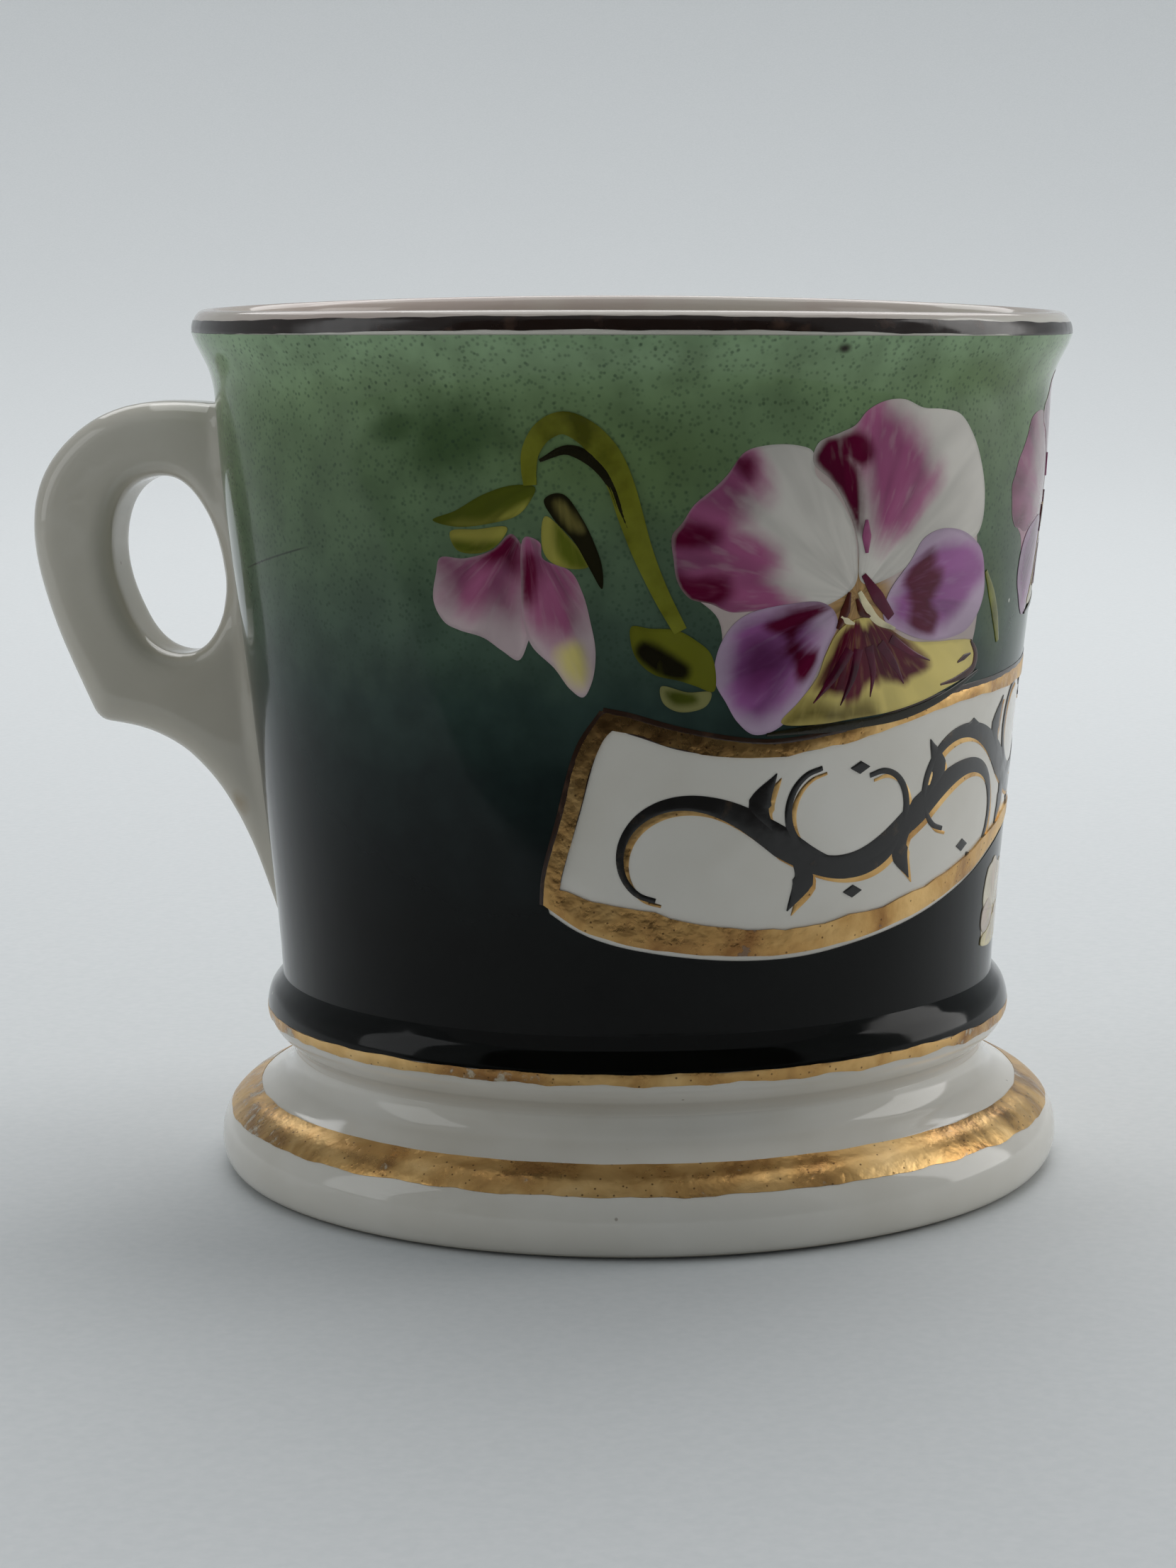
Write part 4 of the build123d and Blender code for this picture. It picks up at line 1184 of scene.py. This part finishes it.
def petal_material(name, base, areas):
    """Enamel brushed in areas, streaked outwards from the throat of the flower."""
    paint = Nodes(name)
    place = paint.position()
    ray = paint.add("Attribute", {}, attribute_name="ray").outputs["Vector"]
    streaks = paint.noise(ray, 3.6, 2.0, 0.3)
    fine = paint.noise(ray, 15.0, 2.0)
    blot = paint.noise(place, 330.0, 3.0)
    colour = paint.shades(streaks, base, [(0.32, 0.80), (0.55, 1.0), (0.75, 1.08)])
    for number, (_, shade, soft, run) in enumerate(areas):
        depth = paint.attribute(f"area{number}")
        push = paint.wander(streaks, 2.2 * run)
        push = paint.plus(push, paint.wander(blot, 1.2 * soft))
        share = paint.rise(paint.plus(depth, push), -1.5 * soft, 1.3 * soft)
        share = paint.times(share, paint.rise(fine, 0.25, 0.5, 0.85, 1.0))
        brushed = paint.shades(streaks, shade, [(0.38, 0.66), (0.52, 1.0), (0.70, 1.25)])
        colour = paint.mix(share, colour, brushed)
    edge = paint.plus(paint.attribute("edge"), paint.wander(blot, 0.9))
    colour = paint.mix(paint.rise(edge, 0.0, 0.35, 0.35, 0.0), colour, tuple(0.55 * c for c in base))
    rough = paint.rise(blot, 0.3, 0.7, 0.07, 0.16)
    ripple = paint.plus(streaks, paint.times(fine, 0.4))
    return paint.finish(colour, rough, bump=(ripple, 0.14, 0.00025), shine=0.28)


def paint_rays(piece, throat):
    """Stores, at every corner, a direction out of the throat and the distance from it."""
    away = flat_corners(piece) - unroll(throat)
    far = np.linalg.norm(away, axis=1)
    ray = np.column_stack([away / np.maximum(far, SHORTEST_RAY)[:, None], far * RAY_SCALE])
    layer = piece.data.attributes.new("ray", "FLOAT_VECTOR", "POINT")
    layer.data.foreach_set("vector", ray.astype(np.float32).ravel())


def blended(colour, other, share):
    """A colour part of the way to another."""
    return tuple((1.0 - share) * a + share * b for a, b in zip(colour, other))


def make_petal(name, petal, throat, level, node, move=None, spacing=0.45, wash=None):
    """One petal or leaf.  move places a copy elsewhere; wash is (colour, share) laid over it."""
    outline, base, areas = petal
    if wash:
        base = blended(base, *wash)
        areas = [(line, blended(shade, *wash), *rest) for line, shade, *rest in areas]
    if move:
        outline = moved(outline, *move)
        areas = [(moved(line, *move), *rest) for line, *rest in areas]
    flat = closed_curve(outline)
    piece = sheet(name, flat, spacing, 0.0, COAT + level)
    zones = {f"area{n}": closed_curve(area[0]) for n, area in enumerate(areas)}
    paint_depths(piece, {"edge": flat, **zones})
    paint_rays(piece, throat)
    return belong(piece, "flower_enamel", petal_material(name, base, areas), node)


STROKE_SHADES = {"crimson": CRIMSON, "mauve": MAUVE, "brown": THROAT_BROWN, "cream": CREAM,
                 "dark": LEAF_DARK, "green": LEAF}


def stroke_material(shade):
    """Enamel put on with one stroke of the brush, thicker and thinner along its way."""
    paint = Nodes("stroke_" + shade)
    place = paint.position()
    wet = paint.noise(place, 420.0, 3.0)
    broad = paint.noise(place, 130.0, 2.0)
    level = paint.plus(paint.times(wet, 0.5), paint.times(broad, 0.5))
    shaded = paint.shades(level, STROKE_SHADES[shade], [(0.36, 0.45), (0.52, 1.0), (0.68, 1.35)])
    return paint.finish(shaded, paint.rise(wet, 0.3, 0.7, 0.08, 0.2), bump=(wet, 0.12, 0.0002), shine=0.35)


def make_strokes(group, lines, level, node, materials, move=None):
    """Brush strokes over a flower, as one piece for each colour."""
    if move:
        scale = move[2]
        lines = [(shade, moved(points, *move), [scale * w for w in widths])
                 for shade, points, widths in lines]
    for shade in dict.fromkeys(line[0] for line in lines):
        drawn = [(points, widths) for kind, points, widths in lines if kind == shade]
        rise = level + SHADE_STEP * list(STROKE_SHADES).index(shade)
        piece = strokes(f"{group}_{shade}", drawn, 0.0, COAT + rise)
        belong(piece, "flower_enamel", materials[shade], node)


SPRAY_STEMS = [
    ("green",
     [(-2.0, 28.0), (8.0, 28.6), (20.0, 29.2), (33.0, 31.2), (46.0, 33.6), (57.0, 35.2)],
     (0.7, 0.9, 0.8, 0.6))]
CENTRE_STEM = [
    ("green", [(-25.2, 64.4), (-23.2, 62.4), (-21.0, 59.8), (-19.2, 57.0)], (0.4, 1.1, 1.2, 0.6))]


# Leaves of the lower spray: middle, length, width, slope and colour.
SPRAY_LEAVES = [((15.0, 30.6), 8.5, 3.6, 28.0, LEAF), ((22.0, 27.6), 8.0, 3.2, -22.0, LEAF_OLIVE),
                ((34.0, 33.4), 8.6, 3.2, 24.0, LEAF_OLIVE), ((43.0, 30.4), 7.6, 2.9, -14.0, LEAF),
                ((6.0, 24.9), 6.0, 2.2, -24.0, LEAF)]


def leaf_petal(middle, length, width, lean, base):
    """A pointed leaf: angle and height of its middle, its size in mm and its slope in degrees."""
    sides = [(-0.5, 0.0), (-0.32, 0.36), (-0.05, 0.5), (0.22, 0.34), (0.5, 0.0), (0.2, -0.42), (-0.1, -0.5),
             (-0.35, -0.3)]
    vein = [(-0.5, 0.03), (0.0, 0.10), (0.48, 0.0), (0.0, -0.06)]
    cosine, sine = math.cos(math.radians(lean)), math.sin(math.radians(lean))

    def placed(line):
        return [(middle[0] + (x * length * cosine - y * width * sine) / DEGREE_WIDTH,
                 middle[1] + x * length * sine + y * width * cosine) for x, y in line]

    return placed(sides), base, [(placed(vein), LEAF_DARK, 0.35, 0.3)]


def make_lower_spray(petals, materials):
    """The small pale flower under the banner, with leaves and a bud that trail to the right."""
    node, centre = "lower_spray", (-5.5, 27.9)
    make_strokes("lower_spray_stem", SPRAY_STEMS, 0.03, node, materials)
    for number, leaf in enumerate(SPRAY_LEAVES):
        make_petal(f"lower_spray_leaf_{number}", leaf_petal(*leaf), centre, 0.05 + LEAF_STEP * number, node,
                   spacing=0.35)
    for number, (name, petal) in enumerate(petals):
        make_petal(f"lower_spray_{name}", petal, centre, 0.04 + SMALL_PETAL_STEP * number, node,
                   (THROAT, centre, 0.31, -1.0, 8.0), 0.3, (CREAM, 0.62))
    bud_move = ((-94.5, 71.0), (58.0, 35.4), 0.34, -1.0, -64.0)
    for number, petal in enumerate((BUD_LEFT, BUD_RIGHT)):
        make_petal(f"lower_spray_bud_{number}", petal, bud_move[1], 0.06 + SMALL_PETAL_STEP * number, node,
                   bud_move, 0.3, (CREAM, 0.45))


def make_flowers():
    """The two open pansies, the hanging bud and the small spray under the banner."""
    materials = {shade: stroke_material(shade) for shade in STROKE_SHADES}
    petals = [("base", PANSY_BASE), ("upper_left", UPPER_LEFT), ("upper_right", UPPER_RIGHT),
              ("left", LEFT), ("right", RIGHT), ("lip", LIP)]
    deeper = {"base": (MAUVE, 0.7), "upper_left": (WINE, 0.62), "left": (DEEP_VIOLET, 0.5),
              "upper_right": (MAUVE, 0.3)}
    copies = (("open_pansy", THROAT, None, "open_pansy", {}),
              ("centre_pansy", (0.5, 69.5), (THROAT, (0.5, 69.5), 0.76, 1.0, 7.0), "centre_pansy", deeper))
    for group, throat, move, node, washes in copies:
        for number, (name, petal) in enumerate(petals):
            make_petal(f"{group}_{name}", petal, throat, 0.01 + PETAL_STEP * number, node, move,
                       wash=washes.get(name))
        make_strokes(group, PANSY_STROKES, STROKE_LEVEL, node, materials, move)
    make_strokes("centre_pansy_stem", CENTRE_STEM, 0.05, "centre_pansy", materials)
    for number, (name, petal) in enumerate((("left", BUD_LEFT), ("right", BUD_RIGHT))):
        make_petal(f"pansy_bud_{name}", petal, (-94.5, 71.0), 0.02 + PETAL_STEP * number, "pansy_bud")
    for number, green in enumerate(BUD_GREENS):
        make_petal(f"pansy_bud_green_{number}", green, (-90.0, 76.0), 0.06 + GREEN_STEP * number, "pansy_bud")
    make_strokes("pansy_bud", BUD_STROKES, STROKE_LEVEL, "pansy_bud", materials)
    make_lower_spray(petals, materials)


# ------------------------------------------------------------------ everything
bpy.context.scene.view_settings.view_transform = "Standard"
make_camera()
make_tent()
make_cards()
make_lights()
glaze = porcelain("porcelain_glaze", 0.0)
belong(make_cup(), "porcelain_glaze", glaze, "cup_body")
belong(make_foot(), "porcelain_glaze", glaze, "pedestal_foot")
belong(make_handle(), "porcelain_glaze", porcelain("porcelain_handle", 0.8), "loop_handle")
make_ground(make_banner())
make_gilding()
make_flowers()
